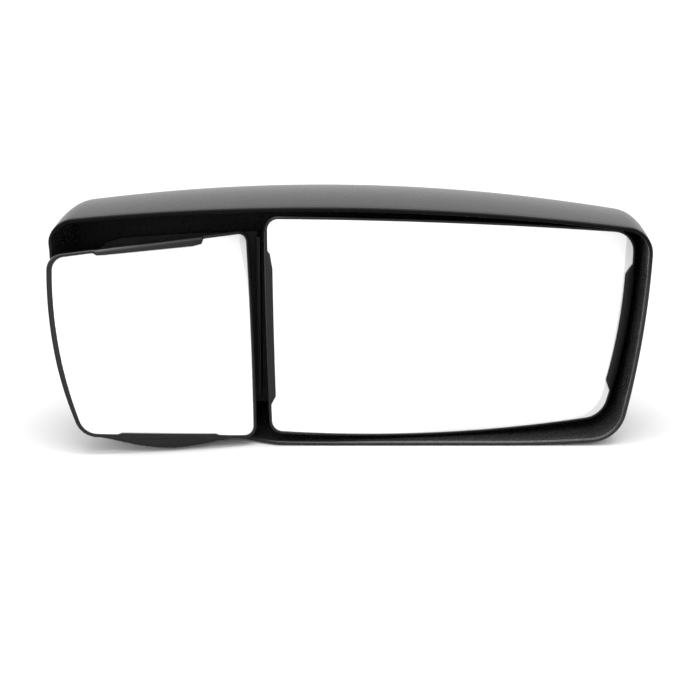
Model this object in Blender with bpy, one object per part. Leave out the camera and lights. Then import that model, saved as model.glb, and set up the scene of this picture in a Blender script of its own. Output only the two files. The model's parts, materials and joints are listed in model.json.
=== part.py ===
"""Towing mirror head: a deep moulded housing that holds a powered main glass and a hand-set spotter glass.

Metres, +Z up. The head stands on its lower long side, and the glasses face -Y. Origin: bottom centre of its box.
"""

from math import atan2, cos, hypot, pi, radians, sin, sqrt

import bmesh
import bpy
from mathutils import Matrix, Vector

# ---------------------------------------------------------------- driving dimensions
HEAD_TOP = 0.1872          # top arc at the rim, at its highest
HEAD_RIGHT = 0.2290        # furthest point of the right side's arc
HEAD_LEFT = -0.2284        # furthest point of the left side's arc
RIM_Y = -0.0662            # plane of the rim's front face
SHELL_DEPTH = 0.120        # rim to the flat of the back
WALL = 0.0024              # moulded wall thickness
GAP = 0.0003               # clearance between pieces that rest on each other
SLIVER = 0.00001
TUBE_RADIUS = 0.0111       # the 22.2 mm arm tube that the clamps hold

MAIN_YAW = radians(6.6)    # the main glass is stored turned to one side
SPOT_YAW = radians(11.0)   # the spotter is stored turned ...
SPOT_TILT = radians(11.0)  # ... and leaning out at its lower edge

# ---------------------------------------------------------------- housing outline
STRAIGHT = 30.0            # radius that stands for a straight side
TOP_RADIUS = 1.890
BACK_TOP_RADIUS = 1.340    # the top arches more towards the back ...
BACK_TOP_DRAFT = 0.0004    # ... and stands this much lower there
TOP_BULGE = 0.0136         # slope of the top behind the rim, as a rise over the depth of the walls
BULGE_FALL = 0.65          # how early that rise dies away
RIGHT_RADIUS = 0.700
LEFT_RADIUS = 0.300
BOTTOM_RADIUS = 1.600
BOTTOM_RIGHT_RADIUS = 0.950
CROWN_X = -0.029           # where the top arc is highest
BACK_CROWN_X = -0.021
RIGHT_Z = 0.175            # where the right side's arc stands furthest out
LEFT_Z = 0.155             # the same for the left side
FLAT_LEFT = -0.010         # the flat that the head stands on
FLAT_RIGHT = 0.118
CORNER_RADII = {"top_right": 0.021, "top_left": 0.022, "bottom_left": 0.028, "bottom_right": 0.028}

SHOULDER_START = 0.098     # depth where the walls turn in to the back
SHOULDER_INSET = 0.030
CORNER_GROWTH = 0.010      # corners grow softer towards the back
LEFT_DRAFT = 0.009         # the left wall leans in over the depth
RIGHT_DRAFT = 0.0015
WALL_RINGS = (0.75, 0.5, 0.25)
EDGE_ROUND = 0.0016        # the rim's outer edge is rounded over this much
LIP_WIDTH = 0.0031
LIP_DEPTH = 0.0050
LIP_BACK = 0.0020          # the lip runs out to the wall over this depth
LIP_ROUND = 0.0008
LIP_SLIM = 0.0026          # width of the lip where the rim is cut back
RELIEF = 0.015             # the rim is cut back behind the spotter by this much ...
FLARE = 0.0010             # ... and stands out by this much
RELIEF_X = (-0.052, -0.092)
RELIEF_Z = (0.172, 0.148)

# ---------------------------------------------------------------- glasses and carriers
LIP_FRONT = 0.0013         # front of the lip to the face of the glass
GLASS_THICK = 0.0020
PAD_THICK = 0.0003
PAD_GAP = 0.00035
PLATE_THICK = 0.0020
INNER_RINGS = (0.28, 0.55, 0.80)  # a curved sheet is built from these shares of its outline
PLATE_FRONT = 0.0043       # depths behind the front of the lip
CARRIER_DEPTH = PLATE_FRONT + PLATE_THICK
GLASS_UNDER_LIP = 0.0012
MAIN_RIM = 0.0021          # width of each carrier's lip outside its glass
SPOT_RIM = 0.0026
SIDE_RIM = 0.0014          # the spotter's lip is this much wider at its outer end
TAB_RAISE = 0.0008
LIP_UNDER = 0.0010         # underside of the lip, behind its front
LIP_SOFT = 0.0004          # chamfers of the lip's inner and outer edges
EDGE_SOFT = 0.0008
GLASS_CHAMFER = 0.0003
HEATER_INSET = 0.004       # the heater pad stops short of the glass's edge

MAIN_PIVOT = Vector((0.075, RIM_Y + 0.029, 0.093))
MAIN_REACH = 0.012         # pivot to the face of the glass
MAIN_TAB = 0.0036          # how far the left and right grip tabs stand in over the glass
RIGHT_TAB = 0.0054

SPOT_PIVOT = Vector((-0.1546, RIM_Y + 0.0124, 0.0802))
SPOT_REACH = 0.016
SPOT_CURVE = 0.550         # radius of the convex face
SPOT_SAG = 0.0052          # how far its middle stands in front of its edges
SPOT_TAB = 0.0028
LOW_TAB = 0.0013
TAB_GROWTH = 0.031         # the upper tab gains this much depth for each metre along it
TAB_STEP = 0.0010          # outline step that the tabs are measured with
LEDGE_BOW = 0.0078         # the finger ledge bows out by this much
LEDGE_SPAN = (-0.044, 0.062)
LEDGE_DEPTH = 0.0030

# ---------------------------------------------------------------- gimbal, actuator
PIN_RADIUS = 0.0016
PIN_PLAY = 0.00015
RING_OUTER = 0.0170
RING_INNER = 0.0115
RING_HALF = 0.0028
EAR_NEAR = 0.0185          # ears stand between these distances from the pivot
EAR_FAR = 0.0240
EAR_RADIUS = 0.0029
LEVER = 0.036              # pivot to each jackscrew
BALL_RADIUS = 0.0032
CUP_BORE = 0.0042
CUP_OUTER = 0.0060

CASE_FRONT = 0.012         # depths behind the pivot
CASE_SPLIT = 0.030
CASE_BACK = 0.048
CASE_WALL = 0.0022
CASE_BOX = (-0.042, 0.058, -0.058, 0.042)
CASE_CORNER = 0.012
LUG_OUT = 0.004            # screw lugs stand out from the case's sides
LUG_HEIGHTS = (0.032, -0.048)
LUG_RADIUS = 0.0060
LUG_DEPTH = 0.008
BOSS_RADIUS = 0.0070       # bosses round the jackscrews
BOSS_FRONT = 0.0025
CRADLES = (0.014, 0.032)   # ribs under the motors, along their length
CRADLE_HALF = 0.006
CRADLE_THICK = 0.002
ROD_RADIUS = 0.0034
WORM_OFFSET = 0.0163
WORM_RADIUS = 0.0040
WHEEL_RADIUS = 0.0120
WHEEL_TEETH = 16
WHEEL_FACE = (0.0208, 0.0292)
HUB_RADIUS = 0.0066
HUB_ENDS = (0.0167, 0.0332)
WORM_ROOT = 0.0032
WORM_HALF = 0.0062
WORM_STEP = 0.00155        # half the pitch of the worm's ridges
SHAFT_RADIUS = 0.0009
DRIVE_DEPTH = 0.025        # worm axes lie this far behind the pivot
MOTOR_RADIUS = 0.0090

# ---------------------------------------------------------------- frame, bracket, clamps
FRAME_FRONT = 0.0775       # depths behind the rim
FRAME_THICK = 0.003
FRAME_TOP = 0.154
FRAME_CLEAR = 0.012        # the panel stops short of the shell's wall
FRAME_CORNER = 0.030
POST_RADIUS = 0.0055
BOLT_POST_RADIUS = 0.0075
RIB_HEIGHTS = (0.052, 0.134)
RIB_ENDS = (-0.190, 0.196)
RIB_DEPTH = 0.008
SCREW_RADIUS = 0.0020
BOLT_RADIUS = 0.0030
FRAME_SCREWS = ((-0.170, 0.126), (-0.148, 0.054), (0.006, 0.146), (0.006, 0.040), (0.180, 0.122), (0.166, 0.050))
BRACKET_X = 0.040
BRACKET_Z = 0.093
BRACKET_SIZE = (0.156, 0.0060, 0.074)
BRACKET_BOLTS = ((-0.066, 0.026), (0.066, 0.026), (-0.066, -0.026), (0.066, -0.026))
CLAMP_SPREAD = 0.040       # each clamp sits this far from the bracket's middle
CLAMP_WIDTH = 0.026
CLAMP_EAR = 0.0205         # clamp bolts sit this far from the tube's axis
CLAMP_HALF = 0.0265        # half the height of a clamp
TUBE_STANDOFF = 0.0150     # bracket face to the tube's axis
TUBE_PLAY = 0.00015
CLAMP_SPLIT = 0.0008       # each half of a clamp stops this far from the tube's middle
CLAMP_WALL = 0.0055
CLAMP_EAR_TOP = 0.0068
CLAMP_BOLT = 0.0025
SPINE = (0.060, 0.0015)    # rib along the bracket: half its length, and its half height and rise
GROMMET = (-0.078, 0.093)
GROMMET_HOLE = 0.0090
GROMMET_BORE = 0.0050
GROMMET_NECK = 0.0086
SOCKET_X = (-0.030, -0.010)
SOCKET_Y = (0.034, 0.046)
SOCKET_HEIGHT = 0.014
SOCKET_WALL = 0.0015
BLADES = (-0.0260, -0.0206, -0.0152)
BLADE_THICK = 0.0012
DIVIDER_X = -0.0715        # web between the two glasses
DIVIDER_THICK = 0.0025

CROSS_PIN = 0.0022
CROSS_EAR_NEAR = 0.0085
CROSS_EAR_FAR = 0.0135
CROSS_EAR_RADIUS = 0.0042
BASE_FRONT = 0.017         # front of the spotter's pillar, behind its pivot
BASE_RADIUS = 0.0240
BASE_FLANGE = 0.0030
BASE_BAR = 0.0060
SPOT_SCREWS = ((0.0200, 0.0), (-0.0100, 0.0173), (-0.0100, -0.0173))

# head radius, head height, shank radius and shank length of each kind of screw
FRAME_SCREW = (0.0044, 0.0026, SCREW_RADIUS, 0.0200)
BRACKET_BOLT = (0.0055, 0.0045, BOLT_RADIUS, 0.0300)
CASE_SCREW = (0.0040, 0.0026, SCREW_RADIUS, 0.0330)
BASE_SCREW = (0.0036, 0.0024, SCREW_RADIUS, 0.0100)
CLAMP_SCREW = (0.0043, 0.0042, CLAMP_BOLT, 0.0190)


# ---------------------------------------------------------------- helpers: scene, materials
def clear_scene():
    for item in list(bpy.data.objects):
        bpy.data.objects.remove(item, do_unlink=True)


def material(name, colour, roughness, metallic=0.0):
    made = bpy.data.materials.new(name)
    made.use_nodes = True
    shader = made.node_tree.nodes["Principled BSDF"]
    shader.inputs["Base Color"].default_value = (*colour, 1.0)
    shader.inputs["Roughness"].default_value = roughness
    shader.inputs["Metallic"].default_value = metallic
    return made


def axis_empty(name, location, rotation=(0.0, 0.0, 0.0)):
    empty = bpy.data.objects.new(name, None)
    empty.location = location
    empty.rotation_euler = rotation
    bpy.context.collection.objects.link(empty)
    return empty


def add_object(name, mesh, finish, parent=None):
    made = bpy.data.objects.new(name, mesh)
    bpy.context.collection.objects.link(made)
    made.data.materials.clear()
    made.data.materials.append(finish)
    made.parent = parent
    return made


def mesh_from(bm, name, smooth_angle=35.0):
    bmesh.ops.recalc_face_normals(bm, faces=bm.faces)
    mesh = bpy.data.meshes.new(name)
    bm.to_mesh(mesh)
    bm.free()
    mesh.shade_smooth()
    mesh.set_sharp_from_angle(angle=radians(smooth_angle))
    return mesh


# ---------------------------------------------------------------- helpers: outlines of arcs
def straight_side(x, z, outward):
    """A side through (x, z) that faces the angle outward, as a circle too large to bend."""
    return (x - STRAIGHT * cos(outward), z - STRAIGHT * sin(outward), STRAIGHT)


def corner_centre(side_a, side_b, radius, near):
    """Centre of the corner arc that touches two side circles from inside."""
    reach_a = side_a[2] - radius
    reach_b = side_b[2] - radius
    dx = side_b[0] - side_a[0]
    dz = side_b[1] - side_a[1]
    apart = hypot(dx, dz)
    along = (reach_a**2 - reach_b**2 + apart**2) / (2 * apart)
    across = sqrt(reach_a**2 - along**2)
    foot_x = side_a[0] + dx * along / apart
    foot_z = side_a[1] + dz * along / apart
    options = [(foot_x + s * across * dz / apart, foot_z - s * across * dx / apart) for s in (1, -1)]
    return min(options, key=lambda spot: hypot(spot[0] - near[0], spot[1] - near[1]))


def arc_points(x, z, radius, start, end, fractions):
    if end < start:
        end += 2 * pi
    angles = [start + (end - start) * part for part in fractions]
    return [(x + radius * cos(angle), z + radius * sin(angle)) for angle in angles]


def even(count):
    """Fractions that split an arc evenly, without its two ends."""
    return [step / count for step in range(1, count)]


def outline(sides, corners, inset=0.0, growth=0.0, corner_steps=3):
    """Closed outline, counter-clockwise from the front, as (x, z) points.

    sides: (circle, fractions) in order. corners: (radius, near point), joining each side to the next,
    or None where two arcs end at their lowest points and a flat runs between them.
    """
    circles = [(side[0][0], side[0][1], side[0][2] - inset) for side in sides]
    bends = []
    for index, corner in enumerate(corners):
        if corner is None:
            bends.append(None)
            continue
        radius = max(corner[0] - inset + growth, 0.001)
        after = circles[(index + 1) % len(circles)]
        x, z = corner_centre(circles[index], after, radius, corner[1])
        start = atan2(z - circles[index][1], x - circles[index][0])
        end = atan2(z - after[1], x - after[0])
        bends.append((x, z, radius, start, end))
    lowest = -pi / 2
    points = []
    ends = [step / corner_steps for step in range(corner_steps + 1)]
    for index, (circle, side) in enumerate(zip(circles, sides)):
        before = bends[index - 1]
        after = bends[index]
        start = lowest if before is None else before[4]
        end = lowest if after is None else after[3]
        fractions = list(side[1])
        if before is None:
            fractions = [0.0] + fractions
        if after is None:
            fractions = fractions + [1.0]
        points += arc_points(*circle, start, end, fractions)
        if after is not None:
            points += arc_points(*after, ends)
    return points


# ---------------------------------------------------------------- helpers: solids
def skin(rings, start_fan=None, end_fan=None):
    """Closed skin through rings of equal length; each end is one flat face or a fan to a middle point."""
    bm = bmesh.new()
    rows = [[bm.verts.new(point) for point in ring] for ring in rings]
    for near, far in zip(rows, rows[1:]):
        for index in range(len(near)):
            follow = (index + 1) % len(near)
            bm.faces.new((near[index], near[follow], far[follow], far[index]))
    for row, fan in ((rows[0], start_fan), (rows[-1], end_fan)):
        if fan is None:
            bm.faces.new(row)
            continue
        middle = bm.verts.new(fan)
        for index in range(len(row)):
            bm.faces.new((row[index], row[(index + 1) % len(row)], middle))
    return bm


def turned(profile, segments, centre_axis="Y"):
    """Solid of revolution from (radius, along) pairs; a pair with no radius closes an end."""
    rings = []
    fans = [None, None]
    for index, (radius, along) in enumerate(profile):
        if radius == 0.0:
            fans[0 if index == 0 else 1] = Vector((0.0, along, 0.0))
            continue
        angles = [2 * pi * step / segments for step in range(segments)]
        rings.append([Vector((radius * cos(a), along, radius * sin(a))) for a in angles])
    bm = skin(rings, *fans)
    turn = {"Y": Matrix.Identity(4), "X": Matrix.Rotation(-pi / 2, 4, "Z"), "Z": Matrix.Rotation(pi / 2, 4, "X")}
    bm.transform(turn[centre_axis])
    return bm


def turned_ring(profile, segments, centre_axis="Y"):
    """Ring of revolution: the (radius, along) profile closes on itself."""
    bm = bmesh.new()
    rows = []
    for step in range(segments):
        angle = 2 * pi * step / segments
        rows.append([bm.verts.new((r * cos(angle), along, r * sin(angle))) for r, along in profile])
    for index, row in enumerate(rows):
        after = rows[(index + 1) % segments]
        for k in range(len(row)):
            bm.faces.new((row[k], row[(k + 1) % len(row)], after[(k + 1) % len(row)], after[k]))
    turn = {"Y": Matrix.Identity(4), "X": Matrix.Rotation(-pi / 2, 4, "Z"), "Z": Matrix.Rotation(pi / 2, 4, "X")}
    bm.transform(turn[centre_axis])
    return bm


def block(low, high):
    """Rectangular block between two corners."""
    bm = bmesh.new()
    bmesh.ops.create_cube(bm, size=1.0)
    size = [high[k] - low[k] for k in range(3)]
    middle = [(high[k] + low[k]) / 2 for k in range(3)]
    bmesh.ops.scale(bm, vec=size, verts=bm.verts)
    bmesh.ops.translate(bm, vec=middle, verts=bm.verts)
    return bm


def prism(points, near, far):
    """(x, z) outline extruded along Y from near to far."""
    return skin([[Vector((x, y, z)) for x, z in points] for y in (near, far)])


def rod(radius, start, end, axis="Y", segments=16, at=(0.0, 0.0, 0.0)):
    """Cylinder along an axis, through the point at."""
    bm = turned([(0.0, start), (radius, start), (radius, end), (0.0, end)], segments, axis)
    bmesh.ops.translate(bm, vec=at, verts=bm.verts)
    return bm


def rounded_box(x_low, x_high, z_low, z_high, radius, steps=4):
    """(x, z) outline of a rectangle with round corners."""
    points = []
    centres = ((x_high, z_high, 0), (x_low, z_high, 1), (x_low, z_low, 2), (x_high, z_low, 3))
    for x, z, quarter in centres:
        cx = x - radius if quarter in (0, 3) else x + radius
        cz = z - radius if quarter in (0, 1) else z + radius
        angles = [pi / 2 * (quarter + step / steps) for step in range(steps + 1)]
        points += [(cx + radius * cos(a), cz + radius * sin(a)) for a in angles]
    return points


def moved(bm, offset):
    bmesh.ops.translate(bm, vec=offset, verts=bm.verts)
    return bm


def tidy_mesh(mesh):
    """Weld the hair-thin slivers that a cut can leave."""
    bm = bmesh.new()
    bm.from_mesh(mesh)
    bmesh.ops.remove_doubles(bm, verts=bm.verts, dist=SLIVER)
    bmesh.ops.dissolve_degenerate(bm, dist=SLIVER, edges=bm.edges)
    bm.to_mesh(mesh)
    bm.free()


def combine(made, shapes, operation):
    """Boolean each shape into the object, one after another, and keep the result as its mesh."""
    for shape in shapes:
        tool = add_object("tool", mesh_from(shape, "tool"), made.data.materials[0])
        tool.matrix_world = made.matrix_world
        tool.parent = made.parent
        tool.location = made.location
        tool.rotation_euler = made.rotation_euler
        step = made.modifiers.new("combine", "BOOLEAN")
        step.operation = operation
        step.solver = "EXACT"
        step.object = tool
        bpy.context.view_layer.update()
        result = bpy.data.meshes.new_from_object(made.evaluated_get(bpy.context.evaluated_depsgraph_get()))
        made.modifiers.clear()
        tidy_mesh(result)
        made.data = result
        bpy.data.objects.remove(tool, do_unlink=True)
    made.data.shade_smooth()
    made.data.set_sharp_from_angle(angle=radians(35.0))


# ---------------------------------------------------------------- housing shell
def smooth_step(value, start, end):
    part = min(max((value - start) / (end - start), 0.0), 1.0)
    return part * part * (3 - 2 * part)


def housing_sides(depth):
    """Side circles of the housing at one depth behind the rim."""
    lean = depth / SHELL_DEPTH
    arch = 1 / (1 / TOP_RADIUS + lean * (1 / BACK_TOP_RADIUS - 1 / TOP_RADIUS))
    crown = CROWN_X + lean * (BACK_CROWN_X - CROWN_X)
    along = min(depth / SHOULDER_START, 1.0)
    rise = along * (1 - BULGE_FALL * along - (1 - BULGE_FALL) * along**2)
    height = HEAD_TOP - BACK_TOP_DRAFT * lean + TOP_BULGE * rise
    top = (crown, height - arch, arch)
    left = (HEAD_LEFT + LEFT_DRAFT * lean + LEFT_RADIUS, LEFT_Z, LEFT_RADIUS)
    low_left = (FLAT_LEFT, BOTTOM_RADIUS, BOTTOM_RADIUS)
    low_right = (FLAT_RIGHT, BOTTOM_RIGHT_RADIUS, BOTTOM_RIGHT_RADIUS)
    right = (HEAD_RIGHT - RIGHT_DRAFT * lean - RIGHT_RADIUS, RIGHT_Z, RIGHT_RADIUS)
    return [(top, even(9)), (left, even(6)), (low_left, even(8)), (low_right, even(2)), (right, even(5))]


def housing_corners():
    return [
        (CORNER_RADII["top_left"], (HEAD_LEFT, HEAD_TOP)),
        (CORNER_RADII["bottom_left"], (HEAD_LEFT, 0.0)),
        None,
        (CORNER_RADII["bottom_right"], (HEAD_RIGHT, 0.0)),
        (CORNER_RADII["top_right"], (HEAD_RIGHT, HEAD_TOP)),
    ]


def housing_ring(depth, inset, growth=0.0):
    sides, corners = housing_sides(depth), housing_corners()
    plain = outline(sides, corners, inset, growth)
    slim = outline(sides, corners, min(inset, LIP_SLIM), growth) if depth < SHOULDER_START / 2 else plain
    ring = []
    for (x, z), (slim_x, slim_z) in zip(plain, slim):
        share = smooth_step(x, *RELIEF_X) * smooth_step(z, *RELIEF_Z)
        back = depth + RELIEF * share * max(0.0, 1.0 - depth / SHOULDER_START)
        out = FLARE * share * smooth_step(depth, SHOULDER_START / 2, 0.0)
        ring.append(Vector((x + (slim_x - x) * share - out, RIM_Y + back, z + (slim_z - z) * share)))
    return ring


def housing_shell(finish):
    shoulder = [radians(angle) for angle in (0, 22, 45, 67, 90)]
    outer = []
    for turn in shoulder:
        inset = SHOULDER_INSET * (1 - cos(turn))
        depth = SHOULDER_START + (SHELL_DEPTH - SHOULDER_START) * sin(turn)
        outer.append(housing_ring(depth, inset, inset + CORNER_GROWTH * sin(turn)))
    inner = []
    for turn in shoulder:
        inset = WALL + (SHOULDER_INSET - WALL) * (1 - cos(turn))
        depth = SHOULDER_START + (SHELL_DEPTH - WALL - SHOULDER_START) * sin(turn)
        inner.append(housing_ring(depth, inset, inset - WALL * cos(turn) + CORNER_GROWTH * sin(turn)))
    bevel = EDGE_ROUND * (1 - cos(pi / 4))
    lip = [
        (EDGE_ROUND, 0.0),
        (bevel, bevel),
        (0.0, EDGE_ROUND),
        (0.0, LIP_WIDTH - LIP_ROUND),
        (LIP_ROUND, LIP_WIDTH),
        (LIP_DEPTH, LIP_WIDTH),
        (LIP_DEPTH + LIP_BACK, WALL),
    ]
    rim = [housing_ring(depth, inset) for depth, inset in lip]
    outer_wall = [housing_ring(SHOULDER_START * part, 0.0) for part in WALL_RINGS]
    inner_wall = [housing_ring(SHOULDER_START * part, WALL) for part in reversed(WALL_RINGS)]
    rings = outer[::-1] + outer_wall + rim + inner_wall + inner
    shell = add_object("housing_shell", mesh_from(skin(rings), "housing_shell"), finish)
    holes = []
    back = (RIM_Y + SHELL_DEPTH - 0.010, RIM_Y + SHELL_DEPTH + 0.010)
    for x, z in FRAME_SCREWS:
        holes.append(rod(SCREW_RADIUS + GAP, *back, segments=10, at=(x, 0.0, z)))
    for x, z in BRACKET_BOLTS:
        holes.append(rod(BOLT_RADIUS + GAP, *back, segments=12, at=(BRACKET_X + x, 0.0, BRACKET_Z + z)))
    holes.append(rod(GROMMET_HOLE, *back, segments=20, at=(GROMMET[0], 0.0, GROMMET[1])))
    combine(shell, holes, "DIFFERENCE")
    return shell


# ---------------------------------------------------------------- glass outlines
def main_outline():
    """The main glass as seen inside its lip, in its own plane; tabs stand on its left and right edges."""
    top = (-0.265, 0.0874 - 4.300, 4.300)
    left = (-0.1398 + 5.000, 0.080, 5.000)
    bottom = (-0.022, -0.0867 + 1.100, 1.100)
    right = (0.1426 - 0.430, 0.055, 0.430)
    sides = [
        (top, even(5)),
        (left, [0.097, 0.120, 0.36, 0.60, 0.845, 0.868]),
        (bottom, even(6)),
        (right, [0.050, 0.080, 0.30, 0.50, 0.70, 0.907, 0.937]),
    ]
    corners = [
        (0.008, (-0.14, 0.085)),
        (0.009, (-0.14, -0.085)),
        (0.019, (0.12, -0.080)),
        (0.016, (0.14, 0.070)),
    ]
    return sides, corners


def main_tab(a, b):
    """How far the grip tab stands in over the glass: it is deeper at the right."""
    if abs(a) < 0.100:
        return 0.0
    if a < 0:
        return MAIN_TAB * tab_weight(b, -0.0586, 0.0610, MAIN_TAB)
    return RIGHT_TAB * tab_weight(b, -0.0570, 0.0440, RIGHT_TAB)


def spot_outline():
    """The spotter glass as seen inside its lip; tabs stand on its top and bottom edges."""
    top = straight_side(0.0085, 0.0745, radians(90 + 5.1))
    left = (-0.0724 + 0.315, 0.042, 0.315)
    bottom = straight_side(0.0160, -0.0713, radians(-90 - 4.0))
    right = straight_side(0.0768, 0.0, 0.0)
    sides = [
        (top, [0.195, 0.218, 0.42, 0.62, 0.817, 0.840]),
        (left, even(5)),
        (bottom, [0.133, 0.160, 0.29, 0.43, 0.57, 0.70, 0.800, 0.823]),
        (right, even(3)),
    ]
    corners = [
        (0.010, (-0.072, 0.070)),
        (0.015, (-0.055, -0.067)),
        (0.007, (0.077, -0.076)),
        (0.0058, (0.077, 0.081)),
    ]
    return sides, corners


def spot_tab(a, b):
    """The same for the spotter: the upper tab grows deeper to the right, and the lower one is shallow."""
    if abs(b) < 0.055:
        return 0.0
    if b < 0:
        return LOW_TAB * tab_weight(a, -0.0280, 0.0500, SPOT_TAB)
    return (SPOT_TAB + TAB_GROWTH * (a + 0.023)) * tab_weight(a, -0.0410, 0.0435, SPOT_TAB)


def tab_weight(value, low, high, ramp):
    """1 along a grip tab, falling to 0 over its chamfered ends."""
    return min(max(min(value - low, high - value) / ramp, 0.0), 1.0)


def ledge_bow(a, b):
    """How far the finger ledge stands out past the carrier's edge."""
    part = (a - LEDGE_SPAN[0]) / (LEDGE_SPAN[1] - LEDGE_SPAN[0])
    if b > -0.055 or not 0.0 < part < 1.0:
        return 0.0
    return LEDGE_BOW * sin(pi * part) ** 1.3


MAIN_GLASS = {"outline": main_outline, "tab": main_tab, "side": 0.0, "rim": MAIN_RIM,
              "reach": MAIN_REACH, "curve": None}
SPOT_GLASS = {"outline": spot_outline, "tab": spot_tab, "side": SIDE_RIM, "rim": SPOT_RIM,
              "reach": SPOT_REACH, "curve": SPOT_CURVE}


def face_ring(glass, offset, depth, tabs=False, bow=0.0, scale=1.0):
    """Ring round a glass: offset out from its visible edge, depth behind the front of its lip."""
    sides, corners = glass["outline"]()
    edge = outline(sides, corners)
    plain = outline(sides, corners, -offset)
    inner = outline(sides, corners, TAB_STEP - offset)
    ring = []
    for (a, b), (x, z), (in_x, in_z) in zip(edge, plain, inner):
        tab = glass["tab"](a, b)
        if tabs:
            x += (in_x - x) * tab / TAB_STEP
            z += (in_z - z) * tab / TAB_STEP
        if offset > rim_start(glass):
            x -= glass["side"] * outer_end(a, b)
        lift = TAB_RAISE * min(tab / LOW_TAB, 1.0) if tabs or depth < LIP_FRONT / 2 else 0.0
        z -= bow * ledge_bow(a, b)
        ring.append(face_point(glass, x * scale, z * scale, depth - lift))
    return ring


def rim_start(glass):
    """Offset beyond which a ring belongs to a carrier's outer edge."""
    return glass["rim"] - 1.5 * EDGE_SOFT if glass["side"] else 1.0


def outer_end(a, b):
    """1 along the upper part of the spotter's outer end, less along its lower part, and 0 elsewhere."""
    return smooth_step(a, -0.040, -0.062) * (0.35 + 0.65 * smooth_step(b, -0.070, -0.010))


def face_point(glass, x, z, depth):
    y = depth - glass["reach"] - LIP_FRONT
    if glass["curve"]:
        y += (x * x + z * z) / (2 * glass["curve"]) - SPOT_SAG
    return Vector((x, y, z))


def slab(glass, offset, front, back, chamfer=0.0):
    """Sheet that follows the glass, with softened edges where a chamfer is given."""
    rings = [face_ring(glass, offset - chamfer, front)]
    if chamfer:
        rings.append(face_ring(glass, offset, front + chamfer))
        rings.append(face_ring(glass, offset, back - chamfer))
    rings.append(face_ring(glass, offset - chamfer, back))
    if not glass["curve"]:
        return skin(rings)
    front_rings = [face_ring(glass, offset - chamfer, front, scale=part) for part in INNER_RINGS]
    back_rings = [face_ring(glass, offset - chamfer, back, scale=part) for part in reversed(INNER_RINGS)]
    return skin(front_rings + rings + back_rings, face_point(glass, 0, 0, front), face_point(glass, 0, 0, back))


def carrier_shell(glass, bow):
    """Shallow dish with a lip over the glass, raised grip tabs and a back plate."""
    well = GLASS_UNDER_LIP + GAP
    rim = glass["rim"]
    rings = [
        face_ring(glass, well, PLATE_FRONT),
        face_ring(glass, well, LIP_UNDER),
        face_ring(glass, 0.0, LIP_UNDER, tabs=True),
        face_ring(glass, 0.0, LIP_SOFT, tabs=True),
        face_ring(glass, LIP_SOFT, 0.0, tabs=True),
        face_ring(glass, rim - EDGE_SOFT, 0.0),
        face_ring(glass, rim, EDGE_SOFT),
        face_ring(glass, rim, LEDGE_DEPTH),
        face_ring(glass, rim, LEDGE_DEPTH + LIP_SOFT, bow=0.85 * bow),
        face_ring(glass, rim, LEDGE_DEPTH + 3 * LIP_SOFT, bow=bow),
        face_ring(glass, rim, CARRIER_DEPTH, bow=bow),
    ]
    if not glass["curve"]:
        return skin(rings)
    front = [face_ring(glass, well, PLATE_FRONT, scale=part) for part in INNER_RINGS]
    back = [face_ring(glass, rim, CARRIER_DEPTH, scale=part) for part in reversed(INNER_RINGS)]
    return skin(front + rings + back, face_point(glass, 0, 0, PLATE_FRONT), face_point(glass, 0, 0, CARRIER_DEPTH))


# ---------------------------------------------------------------- main mirror and its gimbal
def ear(side, axis, near, far, radius, root):
    """Ear with a round end about the pivot axis; it grows from depth root towards the pivot."""
    low, high = sorted((side * near, side * far))
    if axis == "X":
        body = block((low, min(root, 0.0), -radius), (high, max(root, 0.0), radius))
    else:
        body = block((-radius, min(root, 0.0), low), (radius, max(root, 0.0), high))
    return [body, rod(radius, low, high, axis)]


def pin_holes(axis, radius, near, far):
    """Through holes for the two pins on one axis."""
    return [rod(radius, *sorted((side * near, side * far)), axis, segments=20) for side in (-1, 1)]


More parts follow.
